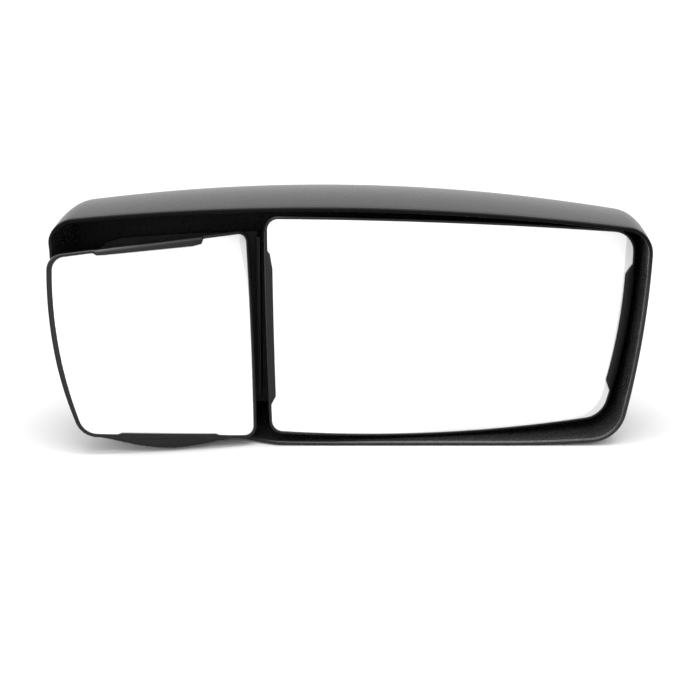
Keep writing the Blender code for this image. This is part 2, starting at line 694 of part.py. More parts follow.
def main_mirror(plastic, pad, mirror):
    tilt_axis = axis_empty("main_tilt_axis", MAIN_PIVOT)
    pan_axis = axis_empty("main_pan_axis", MAIN_PIVOT, (0.0, 0.0, MAIN_YAW))

    shell = mesh_from(carrier_shell(MAIN_GLASS, 0.0), "carrier")
    carrier = add_object("main_glass_carrier", shell, plastic, pan_axis)
    plate_back = CARRIER_DEPTH - MAIN_REACH - LIP_FRONT
    shapes = []
    for side in (-1, 1):
        shapes += ear(side, "Z", EAR_NEAR, EAR_FAR, EAR_RADIUS, plate_back - 0.001)
    for x, z in ((LEVER, 0.0), (0.0, -LEVER)):
        shapes.append(rod(CUP_OUTER, plate_back - 0.001, 0.0020, segments=20, at=(x, 0.0, z)))
    combine(carrier, shapes, "UNION")
    cuts = pin_holes("Z", PIN_RADIUS + PIN_PLAY, EAR_NEAR - 0.001, EAR_FAR + 0.001)
    for x, z in ((LEVER, 0.0), (0.0, -LEVER)):
        cuts.append(rod(CUP_BORE, -0.0042, 0.0030, segments=20, at=(x, 0.0, z)))
    combine(carrier, cuts, "DIFFERENCE")

    glass_back = LIP_FRONT + GLASS_THICK
    slab_glass = slab(MAIN_GLASS, GLASS_UNDER_LIP, LIP_FRONT, glass_back, GLASS_CHAMFER)
    add_object("main_glass", mesh_from(slab_glass, "main_glass"), mirror, pan_axis)
    pad_front = glass_back + PAD_GAP
    slab_pad = slab(MAIN_GLASS, -HEATER_INSET, pad_front, pad_front + PAD_THICK)
    add_object("heater_pad", mesh_from(slab_pad, "heater_pad"), pad, pan_axis)

    profile = [
        (RING_INNER, -RING_HALF),
        (RING_INNER, RING_HALF),
        (RING_OUTER - 0.0005, RING_HALF),
        (RING_OUTER, RING_HALF - 0.0005),
        (RING_OUTER, 0.0005 - RING_HALF),
        (RING_OUTER - 0.0005, -RING_HALF),
    ]
    ring = add_object("gimbal_ring", mesh_from(turned_ring(profile, 20), "gimbal_ring"), plastic, tilt_axis)
    pins = []
    for side in (-1, 1):
        for axis in ("X", "Z"):
            reach = sorted((side * (RING_OUTER - 0.003), side * (EAR_FAR - 0.0003)))
            pins.append(rod(PIN_RADIUS, *reach, axis, segments=12))
    combine(ring, pins, "UNION")


# ---------------------------------------------------------------- actuator
def actuator_cases(plastic):
    """Two-part case behind the main pivot; the gimbal's fixed ears stand on its front."""
    base = axis_empty("actuator_centre", MAIN_PIVOT)
    x_low, x_high, z_low, z_high = CASE_BOX
    outer = rounded_box(x_low, x_high, z_low, z_high, CASE_CORNER)
    inner = rounded_box(
        x_low + CASE_WALL, x_high - CASE_WALL, z_low + CASE_WALL, z_high - CASE_WALL, CASE_CORNER - CASE_WALL)
    lugs = [(x, z) for x in (x_low - LUG_OUT, x_high + LUG_OUT) for z in LUG_HEIGHTS]

    solid = mesh_from(prism(outer, CASE_FRONT, CASE_SPLIT), "front")
    front = add_object("actuator_front_case", solid, plastic, base)
    combine(front, [prism(inner, CASE_FRONT + CASE_WALL, CASE_SPLIT + 0.01)], "DIFFERENCE")
    shapes = []
    for side in (-1, 1):
        shapes += ear(side, "X", EAR_NEAR, EAR_FAR, EAR_RADIUS, CASE_FRONT + 0.001)
    for x, z in ((LEVER, 0.0), (0.0, -LEVER)):
        shapes.append(rod(BOSS_RADIUS, CASE_FRONT - BOSS_FRONT, CASE_FRONT + 2 * CASE_WALL, at=(x, 0.0, z)))
    for x, z in lugs:
        shapes.append(rod(LUG_RADIUS, CASE_SPLIT - LUG_DEPTH, CASE_SPLIT - 0.0005, segments=10, at=(x, 0.0, z)))
    combine(front, shapes, "UNION")
    cuts = pin_holes("X", PIN_RADIUS + PIN_PLAY, EAR_NEAR - 0.001, EAR_FAR + 0.001)
    for x, z in ((LEVER, 0.0), (0.0, -LEVER)):
        cuts.append(rod(ROD_RADIUS + 0.0006, 0.0, CASE_FRONT + 0.01, at=(x, 0.0, z)))
    for x, z in lugs:
        cuts.append(rod(SCREW_RADIUS + GAP, 0.0, CASE_SPLIT + 0.01, segments=10, at=(x, 0.0, z)))
    combine(front, cuts, "DIFFERENCE")

    near = CASE_SPLIT + GAP
    rear = add_object("actuator_rear_case", mesh_from(prism(outer, near, CASE_BACK), "rear"), plastic, base)
    combine(rear, [prism(inner, 0.0, CASE_BACK - CASE_WALL)], "DIFFERENCE")
    floor = CASE_BACK - CASE_WALL
    shapes = []
    for x, z in ((LEVER, 0.0), (0.0, -LEVER)):
        shapes.append(rod(BOSS_RADIUS, HUB_ENDS[1] + GAP, floor + 0.001, at=(x, 0.0, z)))
    for x, z in lugs:
        shapes.append(rod(LUG_RADIUS, near + 0.0005, CASE_BACK - 0.0005, segments=10, at=(x, 0.0, z)))
    cradle = DRIVE_DEPTH + MOTOR_RADIUS + GAP
    line = LEVER - WORM_OFFSET
    for along in CRADLES:
        end = along + CRADLE_THICK
        shapes.append(block((-end, cradle, -line - CRADLE_HALF), (-along, floor + 0.001, CRADLE_HALF - line)))
        shapes.append(block((line - CRADLE_HALF, cradle, along), (line + CRADLE_HALF, floor + 0.001, end)))
    combine(rear, shapes, "UNION")
    cuts = []
    for x, z in ((LEVER, 0.0), (0.0, -LEVER)):
        cuts.append(rod(ROD_RADIUS + 0.0008, 0.0, floor - 0.0002, at=(x, 0.0, z)))
    for x, z in lugs:
        cuts.append(rod(SCREW_RADIUS + GAP, 0.0, CASE_BACK + 0.01, segments=10, at=(x, 0.0, z)))
    combine(rear, cuts, "DIFFERENCE")
    return base, lugs


def drives(base, steel, brass, nylon):
    """Motors, worms, drive nuts and jackscrews, one set for each way that the glass turns."""
    line = LEVER - WORM_OFFSET
    pan_out = LEVER * sin(MAIN_YAW)
    sets = (("tilt", (0.0, -LEVER), "X", (0.0, DRIVE_DEPTH, -line), -1, 0.0),
            ("pan", (LEVER, 0.0), "Z", (line, DRIVE_DEPTH, 0.0), 1, pan_out))
    for name, place, axis, middle, side, out in sets:
        can = [
            (0.0, 0.0385), (0.0078, 0.0385), (MOTOR_RADIUS, 0.0373), (MOTOR_RADIUS, 0.0122), (0.0078, 0.0110),
            (0.0030, 0.0110), (0.0030, 0.0096), (SHAFT_RADIUS, 0.0096), (SHAFT_RADIUS, -0.0060), (0.0, -0.0060),
        ]
        motor = moved(turned([(r, side * along) for r, along in can], 16, axis), middle)
        add_object(name + "_motor", mesh_from(motor, name + "_motor"), steel, base)
        along = [side * (step * WORM_STEP - WORM_HALF) for step in range(9)]
        ridges = [(WORM_ROOT if step % 2 else WORM_RADIUS, y) for step, y in enumerate(along)]
        bore = SHAFT_RADIUS + GAP
        profile = [(bore, -side * WORM_HALF)] + ridges + [(bore, side * WORM_HALF)]
        worm = moved(turned_ring(profile, 14, axis), middle)
        add_object(name + "_worm", mesh_from(worm, name + "_worm"), brass, base)

        nut = add_object(name + "_drive_nut", mesh_from(drive_nut(), name + "_nut"), nylon, base)
        nut.location = (place[0], 0.0, place[1])
        screw = add_object(name + "_jackscrew", mesh_from(jackscrew(), name + "_jack"), steel, base)
        screw.location = (place[0], out, place[1])


def drive_nut():
    """Worm wheel with a hub, turning round the jackscrew."""
    bore = ROD_RADIUS + 0.0002
    bm = bmesh.new()
    rows = []
    steps = WHEEL_TEETH * 2
    root = WHEEL_RADIUS - 0.0011
    levels = (
        (HUB_ENDS[0], bore), (HUB_ENDS[0], HUB_RADIUS), (WHEEL_FACE[0], HUB_RADIUS), (WHEEL_FACE[0], None),
        (WHEEL_FACE[1], None), (WHEEL_FACE[1], HUB_RADIUS), (HUB_ENDS[1], HUB_RADIUS), (HUB_ENDS[1], bore),
    )
    for depth, radius in levels:
        row = []
        for step in range(steps):
            angle = 2 * pi * step / steps
            reach = radius or (WHEEL_RADIUS if step % 2 else root)
            row.append(bm.verts.new((reach * cos(angle), depth, reach * sin(angle))))
        rows.append(row)
    for near, far in zip(rows, rows[1:] + rows[:1]):
        for k in range(steps):
            follow = (k + 1) % steps
            bm.faces.new((near[k], near[follow], far[follow], far[k]))
    return bm


def jackscrew():
    """Ball end, neck and rod; it slides along Y."""
    ball = [radians(angle) for angle in (0, 30, 60, 90, 120, 145)]
    profile = [(BALL_RADIUS * sin(turn), -BALL_RADIUS * cos(turn)) for turn in ball]
    profile[0] = (0.0, -BALL_RADIUS)
    profile += [(0.0018, 0.0070), (ROD_RADIUS, 0.0085), (ROD_RADIUS, 0.0375), (0.0026, 0.0383), (0.0, 0.0383)]
    return turned(profile, 14)


def screw(name, head, along, size, finish, parent=None):
    """Screw with a hex recess: its head's seat is at head, and its shank runs towards along."""
    head_radius, head_height, shank_radius, length = size
    hexagon = [0.45 * head_radius * (1.0 if step % 2 else cos(pi / 6)) for step in range(12)]
    levels = (
        (None, -0.45 * head_height), (None, -head_height), (0.88 * head_radius, -head_height),
        (head_radius, -0.75 * head_height), (head_radius, 0.0), (shank_radius, 0.0), (shank_radius, length),
    )
    rings = []
    for radius, level in levels:
        ring = []
        for step in range(12):
            angle = 2 * pi * step / 12
            reach = hexagon[step] if radius is None else radius
            ring.append(Vector((reach * cos(angle), reach * sin(angle), level)))
        rings.append(ring)
    made = add_object(name, mesh_from(skin(rings), name), finish, parent)
    made.location = head
    made.rotation_mode = "QUATERNION"
    made.rotation_quaternion = Vector(along).to_track_quat("Z", "Y")
    return made


# ---------------------------------------------------------------- support frame
def support_frame(plastic):
    """Backbone panel behind the glasses: it carries the actuator, the spotter pivot and the shell."""
    front = RIM_Y + FRAME_FRONT
    back = front + FRAME_THICK
    sides = housing_sides(FRAME_FRONT)
    low_top = (CROWN_X, FRAME_TOP + FRAME_CLEAR - TOP_RADIUS, TOP_RADIUS)
    sides[0] = (low_top, sides[0][1])
    corners = housing_corners()
    corners[0] = (FRAME_CORNER, (HEAD_LEFT, FRAME_TOP))
    corners[-1] = (FRAME_CORNER, (HEAD_RIGHT, FRAME_TOP))
    panel = outline(sides, corners, FRAME_CLEAR, FRAME_CLEAR, 4)
    frame = add_object("support_frame", mesh_from(prism(panel, front, back), "support_frame"), plastic)
    shapes = []
    shell_back = RIM_Y + SHELL_DEPTH - WALL - GAP
    for x, z in FRAME_SCREWS:
        shapes.append(rod(POST_RADIUS, back - 0.001, shell_back, segments=12, at=(x, 0.0, z)))
    for x, z in BRACKET_BOLTS:
        place = (BRACKET_X + x, 0.0, BRACKET_Z + z)
        shapes.append(rod(BOLT_POST_RADIUS, back - 0.001, shell_back, segments=12, at=place))
    web_low = (DIVIDER_X - DIVIDER_THICK / 2, RIM_Y + 0.052, 0.026)
    web_high = (DIVIDER_X + DIVIDER_THICK / 2, front + 0.001, FRAME_TOP)
    shapes.append(block(web_low, web_high))
    for z in RIB_HEIGHTS:
        shapes.append(block((RIB_ENDS[0], back - 0.001, z), (RIB_ENDS[1], back + RIB_DEPTH, z + DIVIDER_THICK)))
    combine(frame, shapes, "UNION")
    cuts = []
    for x, z in FRAME_SCREWS:
        cuts.append(rod(SCREW_RADIUS + GAP, back + 0.012, shell_back + 0.01, segments=10, at=(x, 0.0, z)))
    for x, z in BRACKET_BOLTS:
        place = (BRACKET_X + x, 0.0, BRACKET_Z + z)
        cuts.append(rod(BOLT_RADIUS + GAP, back + 0.006, shell_back + 0.01, segments=12, at=place))
    for x, z in actuator_lugs():
        cuts.append(rod(SCREW_RADIUS + GAP, front - 0.01, back + 0.01, segments=10, at=(x, 0.0, z)))
    for x, z in SPOT_SCREWS:
        place = (SPOT_PIVOT.x + x, 0.0, SPOT_PIVOT.z + z)
        cuts.append(rod(SCREW_RADIUS + GAP, front - 0.01, back + 0.01, segments=12, at=place))
    combine(frame, cuts, "DIFFERENCE")


def actuator_lugs():
    """World (x, z) of the four screws that hold the actuator to the frame."""
    columns = (CASE_BOX[0] - LUG_OUT, CASE_BOX[1] + LUG_OUT)
    return [(MAIN_PIVOT.x + x, MAIN_PIVOT.z + z) for x in columns for z in LUG_HEIGHTS]


# ---------------------------------------------------------------- spotter mirror
def spotter_mirror(plastic, pad, mirror):
    pan_axis = axis_empty("spotter_pan_axis", SPOT_PIVOT, (0.0, 0.0, SPOT_YAW))
    face_axis = axis_empty("spotter_tilt_axis", SPOT_PIVOT, (-SPOT_TILT, 0.0, SPOT_YAW))

    shell = mesh_from(carrier_shell(SPOT_GLASS, 1.0), "spotter_carrier")
    carrier = add_object("spotter_carrier", shell, plastic, face_axis)
    plate_back = CARRIER_DEPTH - SPOT_REACH - LIP_FRONT - SPOT_SAG
    shapes = []
    for side in (-1, 1):
        shapes += ear(side, "X", CROSS_EAR_NEAR, CROSS_EAR_FAR, CROSS_EAR_RADIUS, plate_back - 0.0005)
    combine(carrier, shapes, "UNION")
    hole = CROSS_PIN + PIN_PLAY
    combine(carrier, pin_holes("X", hole, CROSS_EAR_NEAR - 0.001, CROSS_EAR_FAR + 0.001), "DIFFERENCE")

    glass_back = LIP_FRONT + GLASS_THICK
    slab_glass = slab(SPOT_GLASS, GLASS_UNDER_LIP, LIP_FRONT, glass_back, GLASS_CHAMFER)
    add_object("spotter_glass", mesh_from(slab_glass, "spotter_glass"), mirror, face_axis)
    pad_front = glass_back + PAD_GAP
    slab_pad = slab(SPOT_GLASS, GLASS_UNDER_LIP, pad_front, pad_front + PAD_THICK)
    add_object("spotter_adhesive_pad", mesh_from(slab_pad, "spotter_pad"), pad, face_axis)

    half = CROSS_EAR_NEAR - 0.001
    bevelled = block((-half, -half, -half), (half, half, half))
    bmesh.ops.bevel(bevelled, geom=bevelled.edges[:], offset=0.0008, segments=1, affect="EDGES")
    cross = add_object("spotter_swivel_cross", mesh_from(bevelled, "cross"), plastic, pan_axis)
    pins = []
    for side in (-1, 1):
        for axis in ("X", "Z"):
            reach = sorted((side * (half - 0.002), side * (CROSS_EAR_FAR - 0.0003)))
            pins.append(rod(CROSS_PIN, *reach, axis, segments=12))
    combine(cross, pins, "UNION")

    base = axis_empty("spotter_base_axis", SPOT_PIVOT)
    seat = RIM_Y + FRAME_FRONT - GAP - SPOT_PIVOT.y
    profile = [
        (0.0, BASE_FRONT), (0.0105, BASE_FRONT), (0.0115, BASE_FRONT + 0.001), (0.0135, seat - 0.010),
        (0.0160, seat - BASE_FLANGE), (BASE_RADIUS, seat - BASE_FLANGE), (BASE_RADIUS, seat), (0.0, seat),
    ]
    pillar = add_object("spotter_pivot_base", mesh_from(turned(profile, 24), "pivot_base"), plastic, base)
    shapes = []
    for side in (-1, 1):
        shapes += ear(side, "Z", CROSS_EAR_NEAR, CROSS_EAR_FAR, CROSS_EAR_RADIUS, BASE_FRONT + 0.001)
    bar_low = (-BASE_BAR, BASE_FRONT - 0.003, -CROSS_EAR_FAR)
    shapes.append(block(bar_low, (BASE_BAR, BASE_FRONT + 0.001, CROSS_EAR_FAR)))
    combine(pillar, shapes, "UNION")
    cuts = pin_holes("Z", hole, CROSS_EAR_NEAR - 0.001, CROSS_EAR_FAR + 0.001)
    for x, z in SPOT_SCREWS:
        cuts.append(rod(SCREW_RADIUS + GAP, seat - 0.010, seat + 0.010, segments=10, at=(x, 0.0, z)))
    combine(pillar, cuts, "DIFFERENCE")


# ---------------------------------------------------------------- rear bracket and tube clamps
def mount_bracket(metal):
    """Die-cast plate on the back of the shell, with the lower halves of the two tube clamps."""
    seat = RIM_Y + SHELL_DEPTH + GAP
    length, thick, height = BRACKET_SIZE
    x_low, x_high = BRACKET_X - length / 2, BRACKET_X + length / 2
    z_low, z_high = BRACKET_Z - height / 2, BRACKET_Z + height / 2
    plate = prism(rounded_box(x_low, x_high, z_low, z_high, 0.014, 5), seat, seat + thick)
    bracket = add_object("mount_bracket", mesh_from(plate, "mount_bracket"), metal)
    axis_y = seat + thick + TUBE_STANDOFF
    shapes = []
    for side in (-1, 1):
        middle = BRACKET_X + side * CLAMP_SPREAD
        low = (middle - CLAMP_WIDTH / 2, seat + thick - 0.001, BRACKET_Z - CLAMP_HALF)
        high = (middle + CLAMP_WIDTH / 2, axis_y - CLAMP_SPLIT, BRACKET_Z + CLAMP_HALF)
        shapes.append(block(low, high))
    reach, rise = SPINE
    spine_low = (BRACKET_X - reach, seat + 0.001, BRACKET_Z - rise)
    shapes.append(block(spine_low, (BRACKET_X + reach, seat + thick + rise, BRACKET_Z + rise)))
    combine(bracket, shapes, "UNION")
    cuts = [rod(TUBE_RADIUS + TUBE_PLAY, x_low - 0.01, x_high + 0.01, "X", 40, (0.0, axis_y, BRACKET_Z))]
    for x, z in BRACKET_BOLTS:
        place = (BRACKET_X + x, 0.0, BRACKET_Z + z)
        cuts.append(rod(BOLT_RADIUS + GAP, seat - 0.01, seat + thick + 0.01, segments=16, at=place))
    for x, z in clamp_bolt_places():
        cuts.append(rod(CLAMP_BOLT + GAP, seat + thick + 0.001, axis_y + 0.01, segments=10, at=(x, 0.0, z)))
    combine(bracket, cuts, "DIFFERENCE")
    return seat + thick, axis_y


def clamp_bolt_places():
    return [(BRACKET_X + side * CLAMP_SPREAD, BRACKET_Z + ear_side * CLAMP_EAR)
            for side in (-1, 1) for ear_side in (-1, 1)]


def clamp_cap(axis_y):
    """Arched cap with two flat ears, drawn as a profile and extruded along the tube."""
    outer = TUBE_RADIUS + CLAMP_WALL
    bore = TUBE_RADIUS + TUBE_PLAY
    foot = sqrt(outer**2 - CLAMP_EAR_TOP**2)
    start = atan2(CLAMP_EAR_TOP, foot)
    arch = [start + (pi - 2 * start) * step / 12 for step in range(13)]
    begin = atan2(CLAMP_SPLIT, bore)
    seat = [begin + (pi - 2 * begin) * step / 14 for step in range(15)]
    points = [(CLAMP_HALF, CLAMP_SPLIT), (CLAMP_HALF, CLAMP_EAR_TOP)]
    points += [(outer * cos(turn), outer * sin(turn)) for turn in arch]
    points += [(-CLAMP_HALF, CLAMP_EAR_TOP), (-CLAMP_HALF, CLAMP_SPLIT)]
    points += [(bore * cos(turn), bore * sin(turn)) for turn in reversed(seat)]
    half = CLAMP_WIDTH / 2
    return skin([[Vector((x, axis_y + y, BRACKET_Z + z)) for z, y in points] for x in (-half, half)])


def tube_clamps(metal, steel, axis_y):
    for side, name in ((-1, "left"), (1, "right")):
        middle = BRACKET_X + side * CLAMP_SPREAD
        cap = add_object("tube_clamp_cap_" + name, mesh_from(clamp_cap(axis_y), "clamp_cap"), metal)
        cap.location = (middle, 0.0, 0.0)
        bores = [rod(CLAMP_BOLT + GAP, axis_y - 0.01, axis_y + 0.02, segments=12, at=(0.0, 0.0, BRACKET_Z + z))
                 for z in (-CLAMP_EAR, CLAMP_EAR)]
        combine(cap, bores, "DIFFERENCE")
    for index, (x, z) in enumerate(clamp_bolt_places(), 1):
        screw(f"clamp_bolt_{index}", (x, axis_y + CLAMP_EAR_TOP + GAP, z), (0, -1, 0), CLAMP_SCREW, steel)


# ---------------------------------------------------------------- screws, grommet, socket
def fasteners(steel, bracket_face, base, lugs):
    back = RIM_Y + SHELL_DEPTH
    for index, (x, z) in enumerate(FRAME_SCREWS, 1):
        screw(f"frame_screw_{index}", (x, back + GAP, z), (0, -1, 0), FRAME_SCREW, steel)
    for index, (x, z) in enumerate(BRACKET_BOLTS, 1):
        head = (BRACKET_X + x, bracket_face + GAP, BRACKET_Z + z)
        screw(f"bracket_bolt_{index}", head, (0, -1, 0), BRACKET_BOLT, steel)
    for index, (x, z) in enumerate(lugs, 1):
        screw(f"actuator_screw_{index}", (x, CASE_SPLIT - LUG_DEPTH - GAP, z), (0, 1, 0), CASE_SCREW, steel, base)
    for index, (x, z) in enumerate(SPOT_SCREWS, 1):
        head = (SPOT_PIVOT.x + x, RIM_Y + FRAME_FRONT - BASE_FLANGE - 2 * GAP, SPOT_PIVOT.z + z)
        screw(f"spotter_base_screw_{index}", head, (0, 1, 0), BASE_SCREW, steel)


def grommet(rubber):
    """Cable gland in the back of the shell, grooved to hold the wall."""
    back = RIM_Y + SHELL_DEPTH
    inside = back - WALL - GAP
    profile = [
        (GROMMET_BORE, inside - 0.0022), (0.0110, inside - 0.0017), (0.0110, inside),
        (GROMMET_NECK, inside), (GROMMET_NECK, back + GAP), (0.0125, back + GAP), (0.0120, back + 0.0025),
        (0.0075, back + 0.0070), (GROMMET_BORE, back + 0.0070),
    ]
    ring = turned_ring(profile, 20)
    made = add_object("harness_grommet", mesh_from(ring, "harness_grommet"), rubber)
    made.location = (GROMMET[0], 0.0, GROMMET[1])


def harness_socket(nylon, base):
    """Plug-in socket on the actuator's upper side, open upwards."""
    low = CASE_BOX[3] + GAP
    high = low + SOCKET_HEIGHT
    outer = block((SOCKET_X[0], SOCKET_Y[0], low), (SOCKET_X[1], SOCKET_Y[1], high))
    socket = add_object("harness_socket", mesh_from(outer, "harness_socket"), nylon, base)
    pocket_low = (SOCKET_X[0] + SOCKET_WALL, SOCKET_Y[0] + SOCKET_WALL, low + 2 * SOCKET_WALL)
    pocket_high = (SOCKET_X[1] - SOCKET_WALL, SOCKET_Y[1] - SOCKET_WALL, high + 0.005)
    combine(socket, [block(pocket_low, pocket_high)], "DIFFERENCE")
    middle = (SOCKET_Y[0] + SOCKET_Y[1]) / 2
    blades = []
    for x in BLADES:
        blade_low = (x, middle - BLADE_THICK, low + 0.002)
        blades.append(block(blade_low, (x + BLADE_THICK, middle + BLADE_THICK, high - 2 * SOCKET_WALL)))
    combine(socket, blades, "UNION")


def main():
    clear_scene()
    housing = material("housing_plastic", (0.020, 0.020, 0.022), 0.50)
    frame_plastic = material("frame_nylon", (0.030, 0.030, 0.032), 0.60)
    carrier = material("carrier_plastic", (0.018, 0.018, 0.020), 0.42)
    mirror = material("mirror", (0.92, 0.93, 0.94), 0.03, 1.0)
    pad = material("pad", (0.10, 0.10, 0.10), 0.80)
    case = material("actuator_case", (0.05, 0.05, 0.055), 0.50)
    nylon = material("natural_nylon", (0.75, 0.73, 0.66), 0.45)
    brass = material("brass", (0.72, 0.55, 0.25), 0.30, 1.0)
    steel = material("zinc_steel", (0.60, 0.60, 0.62), 0.35, 1.0)
    metal = material("cast_bracket", (0.05, 0.05, 0.055), 0.45, 0.6)
    rubber = material("rubber", (0.02, 0.02, 0.02), 0.85)

    housing_shell(housing)
    support_frame(frame_plastic)
    main_mirror(carrier, pad, mirror)
    base, lugs = actuator_cases(case)
    drives(base, steel, brass, nylon)
    harness_socket(nylon, base)
    spotter_mirror(carrier, pad, mirror)
    bracket_face, tube_y = mount_bracket(metal)
    tube_clamps(metal, steel, tube_y)
    fasteners(steel, bracket_face, base, lugs)
    grommet(rubber)


main()
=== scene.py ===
"""Looks of the towing mirror head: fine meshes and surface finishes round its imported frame. Metres, +Z up."""

import json
from math import atan2, cos, hypot, pi, radians, sin, sqrt

import bmesh
import bpy
from mathutils import Matrix, Vector


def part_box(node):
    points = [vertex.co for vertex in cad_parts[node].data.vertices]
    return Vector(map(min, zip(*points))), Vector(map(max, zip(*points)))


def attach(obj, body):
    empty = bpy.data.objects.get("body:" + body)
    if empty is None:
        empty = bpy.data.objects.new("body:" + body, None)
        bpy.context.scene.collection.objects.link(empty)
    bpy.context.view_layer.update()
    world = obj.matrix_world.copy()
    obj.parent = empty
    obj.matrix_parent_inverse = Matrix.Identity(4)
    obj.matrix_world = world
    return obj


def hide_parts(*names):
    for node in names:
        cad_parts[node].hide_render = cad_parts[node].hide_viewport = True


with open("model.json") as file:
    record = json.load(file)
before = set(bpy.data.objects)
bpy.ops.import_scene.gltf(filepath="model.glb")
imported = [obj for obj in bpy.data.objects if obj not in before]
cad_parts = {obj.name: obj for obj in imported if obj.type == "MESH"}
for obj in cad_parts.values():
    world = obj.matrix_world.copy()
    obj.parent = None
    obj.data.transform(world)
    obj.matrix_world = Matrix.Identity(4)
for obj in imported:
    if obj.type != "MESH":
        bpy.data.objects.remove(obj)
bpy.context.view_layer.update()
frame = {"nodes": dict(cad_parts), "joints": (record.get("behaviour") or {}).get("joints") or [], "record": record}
joints = {joint["name"]: joint for joint in frame["joints"]}
body_of = {node: body for body, nodes in frame["record"]["behaviour"]["bodies"].items() for node in nodes}
slot_of = {entry["node"]: entry["material_slot"] for entry in frame["record"]["subparts"]}

# ---------------------------------------------------------------- sizes of the head
shell_low, shell_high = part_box("housing_shell")
RIM_Y = shell_low.y
SHELL_DEPTH = shell_high.y - shell_low.y
MAIN_PIVOT = Vector(joints["main_tilt"]["pos_m"])
SPOT_PIVOT = Vector(joints["spotter_pan"]["pos_m"])
HEAD_TOP = 0.1872
HEAD_RIGHT = 0.2290
HEAD_LEFT = -0.2284
WALL = 0.0024
GAP = 0.0003               # clearance between pieces that touch
MAIN_YAW = radians(6.6)
SPOT_YAW = radians(11.0)
SPOT_TILT = radians(11.0)

# sides of the housing: each is an arc, furthest out at the place named for it
STRAIGHT = 30.0            # radius that stands for a straight side
TOP_RADIUS = 1.890
BACK_TOP_RADIUS = 1.340    # the top arches more towards the back ...
BACK_TOP_DRAFT = 0.0004    # ... and stands this much lower there
TOP_BULGE = 0.0136         # slope of the top behind the rim, as a rise over the depth of the walls
BULGE_FALL = 0.65          # how early that rise dies away
RIGHT_RADIUS = 0.700
LEFT_RADIUS = 0.300
BOTTOM_RADIUS = 1.600
BOTTOM_RIGHT_RADIUS = 0.950
CROWN_X = -0.029
BACK_CROWN_X = -0.021
RIGHT_Z = 0.175
LEFT_Z = 0.155
FLAT_LEFT = -0.010
FLAT_RIGHT = 0.118
CORNER_RADII = {"top_right": 0.021, "top_left": 0.022, "bottom_left": 0.028, "bottom_right": 0.028}
TOP_STEPS = 44
SIDE_STEPS = 24
LOW_LEFT_STEPS = 36
LOW_RIGHT_STEPS = 12

# depth of the housing: straight walls, then a soft shoulder round the back
SHOULDER_START = 0.098
SHOULDER_INSET = 0.030
SHOULDER_STEPS = 12
WALL_STEPS = 12
CORNER_GROWTH = 0.010
LEFT_DRAFT = 0.009
RIGHT_DRAFT = 0.0015
HOUSING_HOLES = {"frame_screw_": 0.0023, "bracket_bolt_": 0.0033, "harness_grommet": 0.0090}
HOLE_REACH = 0.010         # how far a cutting rod passes the back, each way

# rim of the housing: rounded front edge, a narrow land, and a step inwards behind it
RIM_ROUND = 0.0016
RIM_ROUND_STEPS = 6
INNER_ROUND = 0.0008
INNER_ROUND_STEPS = 4
LIP_WIDTH = 0.0031
LIP_DEPTH = 0.0050
LIP_SLIM = 0.0026
RELIEF = 0.015             # the rim stands this far back at its upper left corner
RELIEF_X = (-0.052, -0.092)
RELIEF_Z = (0.172, 0.148)
FLARE = 0.0010             # and this much further out
INNER_LAND = [             # (depth, width) of the rim's inner side, behind its rounded edge
    (0.0021, LIP_WIDTH + 0.0002),
    (0.0024, LIP_WIDTH + 0.0002),
    (LIP_DEPTH, LIP_WIDTH - 0.0001),
    (LIP_DEPTH + 0.0004, LIP_WIDTH - 0.0002),
    (LIP_DEPTH + 0.002, WALL),
]

# glasses and carriers, in depth behind the front of the carrier's lip
LIP_FRONT = 0.0013
GLASS_THICK = 0.0020
GLASS_CHAMFER = 0.0003
GLASS_UNDER_LIP = 0.0012
LIP_BACK = 0.0010
PLATE_FRONT = 0.0043
CARRIER_DEPTH = 0.0063
LIP_INNER_SOFT = 0.0004    # roundings of the lip's inner edge ...
LIP_INNER_STEPS = 3
EDGE_SOFT = 0.0008         # ... of its outer edge ...
LIP_OUTER_STEPS = 4
BACK_SOFT = 0.0004         # ... and of the carrier's back edge
MAIN_RIM = 0.0021
SPOT_RIM = 0.0026
SIDE_RIM = 0.0014          # the lip is this much wider at the spotter's outer end
MAIN_REACH = 0.012         # how far a glass's face stands in front of its pivot
SPOT_REACH = 0.016
SPOT_CURVE = 0.550         # radius of the convex spotter
SPOT_SAG = 0.0052
OUTER_END_X = (-0.040, -0.062)
OUTER_END_Z = (-0.070, -0.010)
OUTER_END_LEAST = 0.35

# grip tabs, which stand in over a glass and are raised a little
MAIN_TAB = 0.0036
RIGHT_TAB = 0.0054
SPOT_TAB = 0.0028
LOW_TAB = 0.0013
TAB_GROWTH = 0.031         # the spotter's upper tab grows deeper to the right
TAB_GROWTH_FROM = -0.023
TAB_STEP = 0.0010
TAB_RAISE = 0.0008
TAB_ROUND = 0.0017         # the outer edge of a tab is rounded over this much more than the rest of the lip
MAIN_LEFT_TAB_ENDS = (-0.0586, 0.0610)
MAIN_RIGHT_TAB_ENDS = (-0.0570, 0.0440)
SPOT_LOW_TAB_ENDS = (-0.0280, 0.0500)
SPOT_TOP_TAB_ENDS = (-0.0410, 0.0435)
MAIN_TABS_BEYOND = 0.100   # a tab is only on edges further than this from the middle
SPOT_TABS_BEYOND = 0.055

# finger ledge under the spotter
LEDGE_BOW = 0.0078
LEDGE_SPAN = (-0.044, 0.062)
LEDGE_DEPTH = 0.0030
LEDGE_POWER = 1.3
LEDGE_EDGE = ((0.0002, 0.55), (0.0004, 0.85), (0.0008, 0.97), (0.0012, 1.0))

